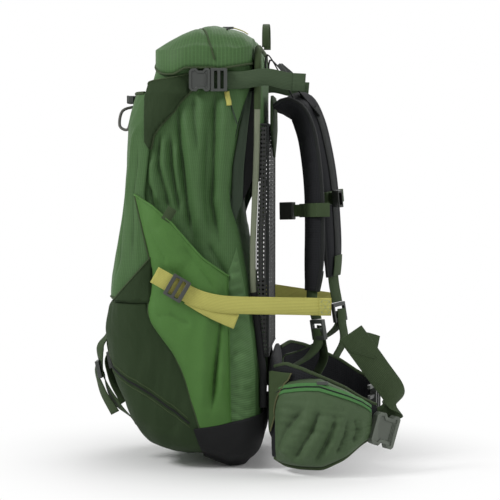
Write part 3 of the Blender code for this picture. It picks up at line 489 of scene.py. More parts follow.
def ribbon(name, line, across, width, material, body, thick=.0018, count=40,
           soft=True):
    """Flat webbing along a line, with its width's direction at each point or once for all."""
    if isinstance(across[0], (int, float)):
        across = [across] * len(line)
    points, sides = [spline(k, count) if soft else [Vector(p) for p in k] for k in (line, across)]
    w, t, edge = width / 2, thick / 2, width / 2 - .0006
    shape = ((edge, t), (0, t), (-edge, t), (-w, 0), (-edge, -t), (0, -t), (edge, -t), (w, 0))
    rows = []
    for i, here in enumerate(points):
        run = heading(points, i)
        side = (sides[i] - run * sides[i].dot(run)).normalized()
        up = run.cross(side).normalized()
        rows.append([here + side * a + up * b for a, b in shape])
    return grid(name, rows, material, body, closed=True, cap="both")


def seam(name, points, radius, material="binding", body="pack"):
    """Thin piping along a smooth line."""
    data = bpy.data.curves.new(name, "CURVE")
    data.dimensions = "3D"
    data.bevel_depth, data.bevel_resolution = radius, 3
    data.use_fill_caps = True
    line = data.splines.new("POLY")
    line.points.add(len(points) - 1)
    for held, p in zip(line.points, points):
        held.co = (*p, 1)
    return place(name, data, material, body)


def box_stitch(name, centre, run, across, out, long, wide):
    """A sewn box with a cross in it."""
    run, across, out = Vector(run), Vector(across), Vector(out)
    corner = [Vector(centre) + run * a * long + across * b * wide + out * .0002
              for a, b in ((-.5, -.5), (.5, -.5), (.5, .5), (-.5, .5))]
    data = bpy.data.meshes.new(name)
    work = bmesh.new()
    for a, b in ((0, 1), (1, 2), (2, 3), (3, 0), (0, 2), (1, 3)):
        leg = corner[b] - corner[a]
        ahead = leg.normalized()
        count = max(3, int(leg.length / .0036))
        turn = Matrix((ahead, out.cross(ahead), out)).transposed().to_4x4()
        for k in range(count):
            spot = Matrix.Translation(corner[a] + leg * ((k + .5) / count))
            thread = spot @ turn @ Matrix.Diagonal((.0026, .0008, .0006, 1))
            bmesh.ops.create_uvsphere(work, u_segments=6, v_segments=4, radius=.5, matrix=thread)
    work.to_mesh(data)
    work.free()
    place(name, data, "thread", "pack")


def soften(made, width, angle):
    """Rounds the edges that are sharper than an angle."""
    bevel = made.modifiers.new("bevel", "BEVEL")
    bevel.width, bevel.segments = width, 3
    bevel.limit_method, bevel.angle_limit = "ANGLE", math.radians(angle)


def dress(node, material, bevel=.0011):
    """A copy of a hard node with rounded edges and its own finish."""
    data = frame["nodes"][node].data.copy()
    data.materials.clear()
    body = next(b for b, nodes in frame["record"]["behaviour"]["bodies"].items() if node in nodes)
    made = place(node + "_moulded", data, material, body)
    weld = made.modifiers.new("weld", "WELD")
    weld.merge_threshold = .00002
    soften(made, bevel, 40)
    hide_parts(node)


def basis(origin, along, out):
    """Local axes with x along a strap and z out of it."""
    x = along.normalized()
    z = (out - x * out.dot(x)).normalized()
    made = Matrix((x, z.cross(x), z)).transposed().to_4x4()
    made.translation = origin
    return made


def clasp(node, where, long, wide, thick, material, body):
    """The open half of a side release buckle: waisted sides, a sunk panel and a ribbed mouth."""
    edge = [(-.50, -.36), (-.40, -.48), (-.16, -.50), (-.06, -.39), (.16, -.39), (.26, -.50), (.42, -.50),
            (.50, -.43)]
    edge += [(u, -v) for u, v in reversed(edge)]
    work = bmesh.new()
    lower = work.faces.new([work.verts.new((u * long, v * wide, -thick / 2)) for u, v in edge])
    top = bmesh.ops.extrude_face_region(work, geom=[lower])
    raised = [g for g in top["geom"] if isinstance(g, bmesh.types.BMVert)]
    bmesh.ops.translate(work, verts=raised, vec=(0, 0, thick))
    bmesh.ops.recalc_face_normals(work, faces=work.faces)
    for face in [f for f in work.faces if abs(f.normal.z) > .9]:
        bmesh.ops.inset_individual(work, faces=[face], thickness=.11 * wide, depth=0)
        bmesh.ops.inset_individual(work, faces=[face], thickness=.02 * wide, depth=-.13 * thick)
    for at in (.245, .300, .355):
        size = Matrix.Diagonal((.020 * long, .56 * wide, thick * .93, 1))
        bmesh.ops.create_cube(work, size=1, matrix=Matrix.Translation((at * long, 0, 0)) @ size)
    bmesh.ops.transform(work, matrix=where, verts=work.verts)
    data = bpy.data.meshes.new(node + "_shell")
    work.to_mesh(data)
    work.free()
    made = place(node + "_shell", data, material, body)
    soften(made, min(.0012, .10 * thick), 35)
    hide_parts(node)


def outline(z, offset, count):
    """The bag's section as evenly spaced points from the middle of its rear, right side first."""
    front, rear, half = FRONT(z), REAR(z), HALF(z)
    f, r = FRONT_CORNER, REAR_CORNER
    ring = [(0.0, rear + offset)]
    for cx, cy, radius, start, end in (
            (half - r, rear - r, r, 90, 0), (half - f, front + f, f, 0, -90),
            (f - half, front + f, f, -90, -180), (r - half, rear - r, r, 180, 90)):
        for a in np.radians(np.linspace(start, end, 13)):
            ring.append((cx + (radius + offset) * math.cos(a), cy + (radius + offset) * math.sin(a)))
    ring = np.array(ring + ring[:1])
    run = way(ring)
    spots = np.linspace(0, run[-1], count, endpoint=False)
    return list(zip(*[np.interp(spots, run, ring[:, k]).tolist() for k in (0, 1)]))


def front_line(z, lift, edge, count):
    """The section's front between the two sides' edges, evenly spaced and lifted off it."""
    front, half, f = FRONT(z), HALF(z), FRONT_CORNER
    flat_end = max(edge, front + f + .001)
    base = [(half, flat_end, 1, 0)]
    for cx, start, end in ((half - f, 0, -90), (f - half, -90, -180)):
        for a in np.radians(np.linspace(start, end, 11)):
            base.append((cx + f * math.cos(a), front + f + f * math.sin(a), math.cos(a), math.sin(a)))
    base = np.array(base + [(-half, flat_end, -1, 0)])
    run = way(base[:, :2])
    skip = run[1] + f * math.asin(min(1.0, (front + f - edge) / f)) if edge < front + f else 0.0
    line = []
    for share in shares(count):
        x, y, nx, ny = [np.interp(skip + share * (run[-1] - 2 * skip), run, base[:, k]) for k in range(4)]
        out = lift(share, z) / math.hypot(nx, ny)
        line.append((x + nx * out, y + ny * out))
    return line


def fold_height(y, z, line, width, height):
    """The height of one long fold, sharp where it goes in and soft where it stands out."""
    best, share = 1.0, 0.0
    here = Vector((y, z))
    if not min(p[0] for p in line) - .04 < y < max(p[0] for p in line) + .04:
        return 0.0
    for k in range(len(line) - 1):
        a, b = Vector(line[k]), Vector(line[k + 1])
        t = clamp((here - a).dot(b - a) / (b - a).length_squared)
        gap = (here - a - (b - a) * t).length
        if gap < best:
            best, share = gap, (k + t) / (len(line) - 1)
    fade = min(1.0, 6 * share + .15, 6 * (1 - share) + .10)
    return height * fade * math.exp(-best / width if height < 0 else -(best / width) ** 2)


def fold_sum(y, z, folds):
    return sum(fold_height(y, z, *fold) for fold in folds)


def side_relief(x, y, z):
    """How far the fabric stands out of the plain section at this place."""
    side = clamp((abs(x) - .100) / .025)
    wrinkle = lumps(x * 26, y * 26, z * 12) * .0030 + lumps(x * 70, y * 70, z * 34) * .0014
    pinch = -.004 * near(z, UPPER_STRAP_Z, .014)
    slack = .005 * near(z, .460, .05) * near(y, .04, .05)
    # Behind its turned edge the cloth lies in and is smoother.
    turn = clamp((y - table(z, TURN_LINE)) / .006) * clamp((z - .325) / .03) * side
    return ((fold_sum(y, z, SIDE_FOLDS) + pinch + slack) * side + wrinkle) * (1 - .7 * turn) - .010 * turn


def top_fade(z):
    """Folds die out towards the bag's top."""
    return min(1.0, (.605 - z) / .03)


def bag_skin(y, z):
    """Half width of the bag's cloth on its flat side."""
    return HALF(z) + clamp(side_relief(HALF(z), y, z) * top_fade(z), FOLD_IN, FOLD_OUT) - .001


def section_x(y, z):
    """Half width of the plain section at this depth."""
    front, rear, half = FRONT(z), REAR(z), HALF(z)
    if y < front + FRONT_CORNER:
        inward, corner = front + FRONT_CORNER - y, FRONT_CORNER
    else:
        inward, corner = max(0.0, y - rear + REAR_CORNER), REAR_CORNER
    return half - corner + math.sqrt(max(0.0, corner**2 - min(corner, inward) ** 2))


def folded_x(y, z):
    """Half width of the section with its folds."""
    plain = section_x(y, z)
    return plain + clamp(side_relief(plain, y, z), FOLD_IN, FOLD_OUT)


# The front pocket's cloth, which other pieces lie on.
POCKET_ROWS = []


def cloth_x(y, z):
    """Half width of the outer cloth: the front pocket where it lies over the bag, else the bag."""
    best = folded_x(y, z)
    low, high = POCKET_ROWS[0][0][2], POCKET_ROWS[-1][0][2]
    if z > low:
        spot = int(min(1.0, (z - low) / (high - low)) * (len(POCKET_ROWS) - 1))
        for row in POCKET_ROWS[spot:spot + 2]:
            half = [(p[1], p[0]) for p in row[len(row) // 2::-1]]
            if y <= half[-1][0]:
                best = max(best, table(y, half) - .5 * max(0.0, z - high))
    return best


def tucked(y, z):
    """Height near the base: in front of the boot the pack's base stands clear of the floor."""
    return z + table(y, BASE_RISE) * max(0.0, 1 - z / .07)


def build_bag():
    count = 360
    rows = []
    for share in (.05, .35, .70):
        base = [(x * share, .035 + (y - .035) * share) for x, y in outline(BASE_Z, -.001, count)]
        rows.append([(x, y, tucked(y, BASE_Z)) for x, y in base])
    for z in np.concatenate([[BASE_Z, .009, .014], np.linspace(.020, .5985, 150)]):
        ring = []
        plain = outline(z, 0.0, count)
        for i, (x, y) in enumerate(plain):
            before, after = plain[i - 1], plain[(i + 1) % count]
            run = Vector((after[0] - before[0], after[1] - before[1])).normalized()
            outward = Vector((-run.y, run.x))
            if outward.dot(Vector((x, y - .02))) < 0:
                outward = -outward
            # Under the lower front and the pockets the cloth stays flat.
            most = FOLD_OUT if z > .30 or y > .088 else .0005
            lift = clamp(side_relief(x, y, z) * min(top_fade(z), z / .06), FOLD_IN, most) - .001
            ring.append((x + outward.x * lift, y + outward.y * lift, tucked(y, z)))
        rows.append(ring)
    bag = grid("bag_body", rows, "ripstop", "pack", closed=True, thick=.0026, cap="first",
               inside=(0, .02, .25))
    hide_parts("main_bag")


def rod_y(z):
    return table(z, ROD_LINE)


def build_gusset(side):
    """The cloth between the bag's turned edge and the frame, dark with painted shade."""
    s, r = SIDES[side], REAR_CORNER
    rows = []
    for z in np.linspace(.345, .556, 44):
        start = table(z, TURN_LINE) + .001
        rear, half = REAR(z), HALF(z)
        row = []
        for k in shares(18):
            y = start + (rear - .004 - start) * k
            depth = -.0105 * min(1.0, k * 4 + .25) + .0012 + .0012 * lumps(y * 40, z * 18, s)
            x = half + depth
            if y > rear - r:
                angle = math.asin(min(.985, (y - rear + r) / r))
                x = half - r + (r + depth) * math.cos(angle)
                y = rear - r + (r + depth) * math.sin(angle)
            row.append((s * x, y, z))
        rows.append(row)
    grid("rear_gusset_" + side, rows, "gusset", "pack", thick=.0008, inside=(0, .03, .45))
    # Sheets from there to the frame's rod: painted sheen beside the bag, and painted shade in black towards
    # the rod.
    build_web("frame_web_inner_" + side, s, 0, .5, "painted_sheen")
    build_web("frame_web_" + side, s, .5, 1, "boot")


def build_web(name, s, first, last, material):
    """Part of the sheet of painted sheen and shade between the bag's rear corner and the rod, from one share
    of the way to another.
    """
    turn, r = math.radians(72), REAR_CORNER - .006
    top, low, slant = .548, .350, .078
    rows = []
    for down in shares(40):
        row = []
        for k in np.linspace(first, last, 7):
            z = top + (low + slant * k - top) * down
            bag = Vector((HALF(z) - REAR_CORNER + r * math.cos(turn),
                          REAR(z) - REAR_CORNER + r * math.sin(turn)))
            spot = bag.lerp(Vector((ROD_X, rod_y(z) - .0015)), k)
            fold = .0022 * lumps(k * 3, z * 26, s * 4) - .0030
            row.append((s * (spot.x + fold * math.sin(math.pi * k)), spot.y, z))
        rows.append(row)
    grid(name, rows, material, "pack", thick=.0008, inside=(0, .08, .40))


def build_boot():
    count = 200
    top = [.056 + .24 * max(0.0, y - .018) for x, y in outline(.060, .005, count)]
    rows = []
    for share in shares(22):
        ring = []
        for i in range(count):
            z = FLOOR_Z + (top[i] - FLOOR_Z) * share
            crumple = .0016 * lumps(top[i] * 160, i * .11, z * 42) * math.sin(math.pi * share)
            x, y = outline(max(z, BASE_Z), .0048 + crumple, count)[i]
            if share == 0:
                x, y = x * .96, .03 + (y - .03) * .96
            ring.append((x, y, tucked(y, z)))
        rows.append(ring)
    # The boot ends at the sides, so its rows start behind the gap in front.
    keep = [i for i in range(count) if rows[-1][i][1] > .020]
    split = next((k for k in range(1, len(keep)) if keep[k] - keep[k - 1] > 1), 0)
    rows = [[row[i] for i in keep[split:] + keep[:split]] for row in rows]
    boot = grid("boot_skin", rows, "boot", "pack", thick=.0030, inside=(0, .02, .06))
    floor = []
    for share in (1.0, .7, .4, .1):
        ring = [(x * share, .066 + (max(y, .040) - .066) * share) for x, y in outline(BASE_Z, .0005, 120)]
        floor.append([(x, y, tucked(y, .0012)) for x, y in ring])
    grid("boot_floor", floor, "boot", "pack", closed=True, thick=.0012, cap="last",
         offset=0)
    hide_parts("base_boot")


def lower_edge(z):
    """Depth of the lower panel's edge: the side pocket's, and a line from there to the base."""
    pocket = EDGE(clamp(z, POCKET_FOOT, .300)) - .002
    return table(z, ((BASE_Z, .046), (.030, .038), (.052, .030), (.066, pocket)))


def panel_lift(share, z):
    """How far the lower panel's cloth stands out of the plain section."""
    rim = max(0.0, min(1.0, share * 14, (1 - share) * 14) * min(1.0, (z - .010) / .012, (.2445 - z) / .008))
    fold = lumps(share * 14, z * 30, 3.1) * .0018
    fold += lumps(share * 22 + z * 24, z * 9, 6.1) * .0026
    fold += lumps(share * 60 + z * 40, z * 30, 2.4) * .0008
    return .0016 + .0026 * rim**.5 + fold * rim


def panel_line(drop, lift):
    """A line on the lower panel from the middle of the front down to both sides."""
    line = []
    for share in np.linspace(.03, .97, 90):
        z = .172 + drop - .118 * (abs(2 * share - 1) ** 2.2)
        row = front_line(z, lambda k, z: panel_lift(k, z) + lift, lower_edge(z), 201)
        x, y = row[int(round(share * 200))]
        line.append((x, y, tucked(y, z)))
    return line


def build_lower_panel():
    rows = []
    for z in np.linspace(.0062, .2435, 84):
        rows.append([(x, y, tucked(y, z)) for x, y in front_line(z, panel_lift, lower_edge(z), 150)])
    panel = grid("lower_front", rows, "dark_olive", "pack", thick=.0014,
                 inside=(0, .02, .12))
    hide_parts("lower_panel")
    seam("lower_zip", panel_line(0, .0004), .0015, "dark_web")
    for k, drop in enumerate((.008, -.008)):
        seam(f"lower_zip_flap_{k}", panel_line(drop, .0001), .0010, "olive")


def pocket_lift(share, z):
    """How far the front pocket's cloth stands out of the plain section."""
    side = max(0.0, min(1.0, share * 7, (1 - share) * 7))
    foot = clamp((z - .2455) / .035)
    full = .0045 + .0130 * side ** .6 * foot ** .5 * table(z, FRONT_FULL)
    fold = lumps(share * 7, z * 7, 7.7) * .0044
    fold += lumps(share * 15 + z * 6, z * 11, 1.7) * .0022
    fold += lumps(share * 44, z * 26, 5.7) * .0007
    fold += fold_sum(min(share, 1 - share), z, FRONT_PLEATS)
    return full + fold * (.25 + .75 * side) * foot - .002


def build_front_pocket():
    for z in np.linspace(.2465, .5455, 90):
        POCKET_ROWS.append([(x, y, z) for x, y in front_line(z, pocket_lift, table(z, FRONT_EDGE), 190)])
    pocket = grid("front_pocket_cloth", POCKET_ROWS, "ripstop", "pack", thick=.0016,
                  inside=(0, .02, .40))
    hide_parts("front_pocket")
    seam("front_pocket_hem", [p for p in POCKET_ROWS[-1] if p[1] < WING_SHAPE[0][0] + .001], .0024)
    seam("front_pocket_foot", POCKET_ROWS[1], .0016)


def over_skin(name, side, depths, edges, gap, count):
    """A piece of dark cloth that lies on the pack's side between two edges."""
    rows = []
    for y in depths:
        row = []
        for z in np.linspace(*edges(y), count):
            slope = max(0.0, FRONT(z) + FRONT_CORNER - y) / FRONT_CORNER
            row.append((SIDES[side] * (cloth_x(y, z) + gap * (1 + 1.6 * slope)), y, z))
        rows.append(row)
    grid(name + "_" + side, rows, "dark_olive", "pack", thick=.0012, inside=(0, .02, .45))
    return rows


def build_wing(side):
    """The olive gusset up to the side buckle, and the lower front's corner beside the front pocket."""
    depths = np.linspace(WING_SHAPE[0][0], WING_SHAPE[-1][0], 46)
    rows = over_skin("pocket_wing", side, depths, lambda y: [table(y, WING_SHAPE, k) for k in (1, 2)],
                     .0022, 26)
    seam("wing_hem_" + side, [row[0] for row in rows[6:]], .0014)
    seam("wing_top_" + side, [row[-1] for row in rows[3:]], .0011)
    depths = np.linspace(GORE_TOP[0][0], GORE_TOP[-1][0], 34)
    rows = over_skin("pocket_gore", side, depths, lambda y: (.2438, table(y, GORE_TOP)), .0030, 20)
    seam("gore_edge_" + side, [row[-1] for row in rows], .0011)


def build_strip(side):
    """The paler ripstop behind the side pocket, crinkled across, down to the boot."""
    rows = []
    for share in shares(110):
        row = []
        for k in shares(30):
            z = .064 + (.222 + .040 * k) * share
            y = .072 + (REAR(z) - .007 - .072) * k
            fold = .0010 * math.sin(z * 430 + 7 * lumps(y * 34, z * 12, 1.0))
            fold += .0022 * lumps(y * 18, z * 55, 4.0) + .0014 * lumps(y * 60, z * 90, 2.0)
            lift = (.0016 + fold * min(1.0, 4 * k, 6 * (1 - k))) * min(1.0, 12 * (1 - share) + .1)
            row.append((SIDES[side] * (folded_x(y, z) + lift), y, z))
        rows.append(row)
    grid("rear_strip_" + side, rows, "strip", "pack", thick=.0010, inside=(0, .03, .20))


def build_side_pocket(side):
    s = SIDES[side]
    rows = []
    for a in shares(56):
        row = []
        for b in shares(76):
            front_y = EDGE(POCKET_FOOT + (POCKET_TIP - POCKET_FOOT) * b)
            rear_y = .0778 - .0043 * b
            y = front_y + (rear_y - front_y) * a
            foot_z = .0560 + .0110 * a
            z = foot_z + (table(y, POCKET_RIM) - foot_z) * b
            rim = 1 - abs(2 * a - 1) ** 3.0
            rise = min(1.0, b / .35) ** .7
            full = .0012 + .0215 * rim ** .6 * rise * (1 - .15 * b)
            fold = .0020 * lumps(y * 30, z * 16, 4.0 + s) + .0009 * lumps(y * 70, z * 60, 2.0)
            fold += fold_sum(y, z, POCKET_FOLDS)
            x = section_x(y, z) + full + fold * rim * rise
            row.append((s * max(x, cloth_x(y, z) + .0016), y, z))
        rows.append(row)
    pocket = grid("pocket_cloth_" + side, rows, "bright", "pack", thick=.0014,
                  inside=(0, .03, .19))
    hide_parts("side_pocket_" + side)
    seam("pocket_hem_" + side, [row[-1] for row in rows], .0018, "bright")
    seam("pocket_front_seam_" + side, rows[0], .0011)
    seam("pocket_rear_seam_" + side, rows[-1], .0009, "bright")


def lid_height(x, y):
    return table(abs(x), LID_SHARE) * table(clamp((y - LID_FRONT) / (LID_REAR - LID_FRONT)), LID_CROWN)


def lid_seam_y(x):
    return .022 + .0275 * (x / .138) ** 2


def lid_surface(x, y):
    """Height of the lid's cloth: a soft crown, a sunk seam and wrinkles of its own on both parts."""
    crown = sum(lid_height(x + dx, y + dy) for dx in (-.008, 0, .008) for dy in (-.008, 0, .008)) / 9
    rear = clamp((y - .030) / .02)
    fold = lumps(x * 15, y * 15, 2.2) * .0042
    fold += rear * lumps(x * 12, y * 75, 5.2) * .0034
    fold += (1 - rear) * lumps(x * 52, y * 22, 8.2) * .0034
    fold -= .0022 * near(y, lid_seam_y(x), .004)
    # A hollow that leaves room for the haul loop when the lid is open.
    fold -= .0065 * near(x, 0, .045) * clamp((y - .045) / .030)
    return LID_BASE + crown + fold - .0008


def lid_foot(x, y):
    """Height of the lid's hem, which rises in the middle of the front."""
    return table(y, LID_FOOT) + .017 * clamp((.128 - abs(x)) / .05) * clamp((-.004 - y) / .03)


def build_lid():
    ring = [(x, clamp(y, -.0432, .1068)) for x, y in outline(.598, .0058, 200)]
    rows = [[(x * wide, y, lid_foot(x, y) + rise) for x, y in ring] for wide, rise in ((1, 0), (1.006, .007))]
    middle = .032
    for share in np.concatenate([[1.0, .99, .975, .955], np.linspace(.93, .04, 38)]):
        row = []
        for x, y in ring:
            px, py = x * share, middle + (y - middle) * share
            row.append((px, py, max(lid_surface(px, py), lid_foot(x, y) + .011)))
        rows.append(row)
    lid = grid("lid_cloth", rows, "ripstop", "lid", closed=True, thick=.0030, cap="last",
               inside=(0, .03, .59))
    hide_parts("lid")
    seam("lid_hem", rows[0] + [rows[0][0]], .0017, body="lid")
    line = [(x, lid_seam_y(x), lid_surface(x, lid_seam_y(x)) + .0006)
            for x in np.linspace(-.1370, .1370, 60)]
    # The seam runs on down both sides.
    for sign in (1, -1):
        wall = [(sign * (.1388 + .0002 * k), .0497 + .0012 * k, line[0][2] - .0008 - .0042 * k)
                for k in range(5)]
        line = line + wall if sign > 0 else wall[::-1] + line
    seam("lid_seam", line, .0012, body="lid")
    zip_y = .070
    zipper = [(x, zip_y, lid_surface(x, zip_y) + .0004) for x in np.linspace(-.10, .10, 40)]
    seam("lid_zip_line", zipper, .0016, "dark_web", "lid")
    dress("lid_zip_slider", "plastic", .0006)
    pull = [(.075, y, max(lid_surface(x, y) for x in (.065, .075, .090)) + .0026)
            for y in (.0765, .084, .092, .099)]
    ribbon("lid_zip_pull", pull, (1, 0, 0), .006, "yellow", "lid_zip", .0014, 14)


def strap_points(side):
    """The middle line of the shoulder strap."""
    points = []
    for i, (x, y, z) in enumerate(STRAP_LINE):
        part = i / (len(STRAP_LINE) - 1)
        lift = STRAP_RISE[side] * min(1.0, i / 2) * (1.0 - .6 * part)
        points.append((SIDES[side] * x, y + STRAP_OUT[side] * part, z + lift))
    return points


def build_shoulder(side):
    s = SIDES[side]
    body = "shoulder_" + side
    count = 70
    line = spline(strap_points(side), count)
    rows, outer, inner, spots, sides = [], [], [], [], []
    for i, here in enumerate(line):
        run = heading(line, i)
        flat = Vector((0, run.y, run.z)).normalized()
        out = Vector((0, -flat.z, flat.y))
        across = Vector((s, 0, 0)) * math.cos(PAD_TILT) + out * math.sin(PAD_TILT)
        across = (across - run * across.dot(run)).normalized()
        out = (out - run * out.dot(run) - across * out.dot(across)).normalized()
        share = i / (count - 1)
        width = .0615 - .018 * max(0.0, (share - .80) / .20) ** 1.5
        thick = .0155 * min(1.0, .35 + i / 5) * (1 - .45 * max(0.0, (share - .86) / .14) ** 2)
        ring = []
        for u, v in oblong(36, .55, .8):
            px = u * width / 2
            quilt = 1.0 - .16 * near(math.sin(share * 26), 0, .22) * (v < 0 and abs(px) < width * .42)
            ring.append(here + across * px + out * (v * thick / 2) * quilt)
        rows.append(ring)
        outer.append(here + across * (width / 2 + .0004))
        inner.append(here - across * (width / 2 + .0004))
        spots.append((here, out, thick / 2))
        sides.append(across)

    def on_pad(i, gap):
        here, out, half = spots[i]
        return here + out * (half + gap)

    pad = grid("shoulder_pad_cloth_" + side, rows, "pad", body, closed=True, cap="both")
    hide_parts("shoulder_pad_" + side)
    seam("pad_binding_outer_" + side, outer, .0026, "dark_web", body)
    seam("pad_binding_inner_" + side, inner, .0026, "dark_web", body)
    strip = [on_pad(i, .0010) for i in range(12, 66)]
    ribbon("pad_strip_" + side, strip, sides[12:66], .020, "dark_web", body, thick=.0014, soft=False)
    patch = [on_pad(i, .0024) for i in range(62, count)]
    ribbon("pad_end_patch_" + side, patch, sides[62:], .030, "web", body, thick=.0012, soft=False)
    # The tab, lock and webbing below the pad.
    end, run = line[-1], heading(line, count - 1)
    lock_at = Vector(strap_points(side)[-1]) + Vector((0, .010, -.058))
    turned = (s * math.cos(LOCK_TURN), math.sin(LOCK_TURN), 0)
    tab = [end - run * .004, end + run * .016 + Vector((0, .002, 0)), lock_at + Vector((0, -.003, .0165))]
    tab = ribbon("strap_tab_" + side, tab, turned, .025, "web", body)
    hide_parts("shoulder_tab_" + side)
    dress("shoulder_lock_" + side, "plastic")
    foot = lock_at + Vector((0, -.001, -.019))
    anchor = Vector((s * .0995, .1461, .140))
    drop = [lock_at + Vector((0, -.0030, .002)), foot, foot * .66 + anchor * .34 + Vector((0, .004, -.006)),
            foot * .25 + anchor * .75 + Vector((0, .002, -.004)), anchor,
            anchor + Vector((0, -.0002, -.018))]
    twist = [turned, turned, (s * .55, .75, .3), (s * .8, .5, .1), (s, 0, 0), (s, 0, 0)]
    web = ribbon("strap_webbing_" + side, drop, twist, .020, "web", None, count=60)
    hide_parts("shoulder_webbing_" + side)
    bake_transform(web)
    facing = Vector((-s * math.sin(LOCK_TURN), math.cos(LOCK_TURN), .15))
    loose = [lock_at + facing * out + Vector((0, y, z)) for out, y, z in (
        (.0045, 0, .006), (.006, 0, -.016), (.012, -.002, -.044), (.006, -.010, -.070))]
    ribbon("strap_tail_" + side, loose, turned, .020, "web", body, count=30)
    # The load lifter from the frame down to the pad.
    lifter_low = on_pad(15, .0026) - Vector((s * .004, 0, 0))
    high = Vector((s * .056, .1241, .597))
    lift_line = [high + Vector((0, 0, -.014)), high, high + Vector((0, .006, .004)),
                 high * .6 + lifter_low * .4 + Vector((0, .004, .002)), lifter_low]
    lifter = ribbon("lifter_" + side, lift_line, (1, 0, 0), .020, "dark_web", None, count=44)
    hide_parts("load_lifter_" + side)
    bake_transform(lifter)
    dress("lifter_lock_" + side, "plastic")
    dress("sternum_loop_" + side, "web", .0004)
    dress("sternum_buckle_" + side, "plastic")


def wing_stations(count):
    """Points along the belt wing: place, outward direction, lower and upper edge, share of the length."""
    plan = [p[:2] for p in WING_LINE]
    line, known = spline(plan, count), spline(plan, 241)
    share = shares(count)
    marks = [min(range(241), key=lambda k: (known[k] - Vector(p)).length) / 240 for p in plan]
    soft = []
    for column in (2, 3):
        values = np.interp(share, marks, [p[column] for p in WING_LINE])
        padded = np.concatenate([[values[0]] * 2, values, [values[-1]] * 2])
        soft.append(np.convolve(padded, [.1, .2, .4, .2, .1], "valid"))
    made = []
    for i, here in enumerate(line):
        run = heading(line, i)
        made.append((here, Vector((run.y, -run.x)), float(soft[0][i]), float(soft[1][i]), share[i]))
    return made


def wing_place(side, p):
    """A place in plan on the unfolded right wing, as it lies on its side."""
    d = Matrix.Rotation(-WING_FOLD[side], 2) @ Vector((p.x - WING_HINGE[0], p.y - WING_HINGE[1]))
    return SIDES[side] * (WING_HINGE[0] + d.x), WING_HINGE[1] + d.y


def build_hip(side):
    body = "hip_" + side
    stations = wing_stations(60)
    rows, top, foot = [], [], []
    for here, out, low, high, share in stations:
        middle, half = (low + high) / 2, (high - low) / 2
        thick = .0058 * min(1.0, .4 + share * 8) * (1 - .3 * share)
        rows.append([(*wing_place(side, here + out * u * thick), middle + v * half)
                     for u, v in oblong(40, .8, .5)])
        top.append((*wing_place(side, here), high + .0002))
        foot.append((*wing_place(side, here), low))
    wing = grid("hip_wing_cloth_" + side, rows, "pad", body, closed=True, cap="both")
    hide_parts("hip_wing_" + side)
    seam("hip_piping_top_" + side, top[2:], .0028, body=body)
    seam("hip_piping_foot_" + side, foot[2:], .0028, body=body)

    def pocket_edges(here, low, high):
        base = low + .003
        return base, min(high - .002, base + (table(here.y, ZIP_ARCH) - base) / .919)

    def pocket_depth(share, up):
        """How far the pocket stands off the wing at a share of its length and of the pocket's height."""
        least = .0066
        part = (share - POCKET_START) / (POCKET_END - POCKET_START)
        if not (0 < part < 1 and 0 < up < 1):
            return least
        full = .0012 + .0235 * math.sin(math.pi * part) ** .7
        rim = (1 - abs(2 * up - 1) ** 4) ** .6
        if up > .86:
            rim = max(rim, .35 + .3 * (1 - up) / .14)
        fold = lumps(share * 11, up * 5, 9.0 + SIDES[side]) * .0034
        fold += lumps(share * 5 + up * 3, up * 16, 3.0) * .0026
        fold += lumps(share * 34, up * 22, 1.0) * .0010
        fold += fold_sum(part * .16, up * .11, HIP_CREASES)
        return max(least, .0062 + full * rim + fold * rim * (1 - up**4) * math.sin(math.pi * part) ** .5)

    rows = []
    for here, out, low, high, share in wing_stations(120):
        if POCKET_START <= share <= POCKET_END:
            base, head = pocket_edges(here, low, high)
            rows.append([
                (*wing_place(side, here + out * pocket_depth(share, up)), base + (head - base) * up)
                for up in shares(44)])
    pocket = grid("hip_pocket_cloth_" + side, rows, "hip", body, thick=.0012,
                  inside=(0, .12, .08))
    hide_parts("hip_pocket_" + side)
    ends = [(Vector(row[-3]), Vector(row[-6])) for row in rows[1:-1]]
    line = [(a + b) / 2 + Vector((SIDES[side] * .0012, 0, .0006)) for a, b in ends]
    tape = [a - b for a, b in ends]
    ribbon("hip_zip_tape_" + side, line, tape, .013, "zip", body, .0012, soft=False)
    teeth = [p + Vector((SIDES[side] * .0008, 0, .0003)) for p in line]
    seam("hip_zip_teeth_" + side, teeth, .0011, "dark_web", body)
    dress("hip_zip_slider_" + side, "plastic", .0008)
    rows = []
    for t in shares(24):
        row = []
        for k in shares(34):
            share = .012 + t * (.020 + .235 * k)
            spot = share * (len(stations) - 1)
            out, low, high = stations[round(spot)][1:4]
            here = stations[int(spot)][0].lerp(stations[int(spot) + 1][0], spot - int(spot))
            z = .058 + (min(high - .006, .146) - .058) * k
            base, head = pocket_edges(here, low, high)
            depth = pocket_depth(share, (z - base) / (head - base)) + .0016
            row.append((*wing_place(side, here + out * depth), z))
        rows.append(row)
    grid("hip_flap_" + side, rows, "olive", body, thick=.0012, inside=(0, .12, .08))
    seam("hip_flap_edge_" + side, rows[-1], .0011, "piping", body)
    build_belt_end(side, body)


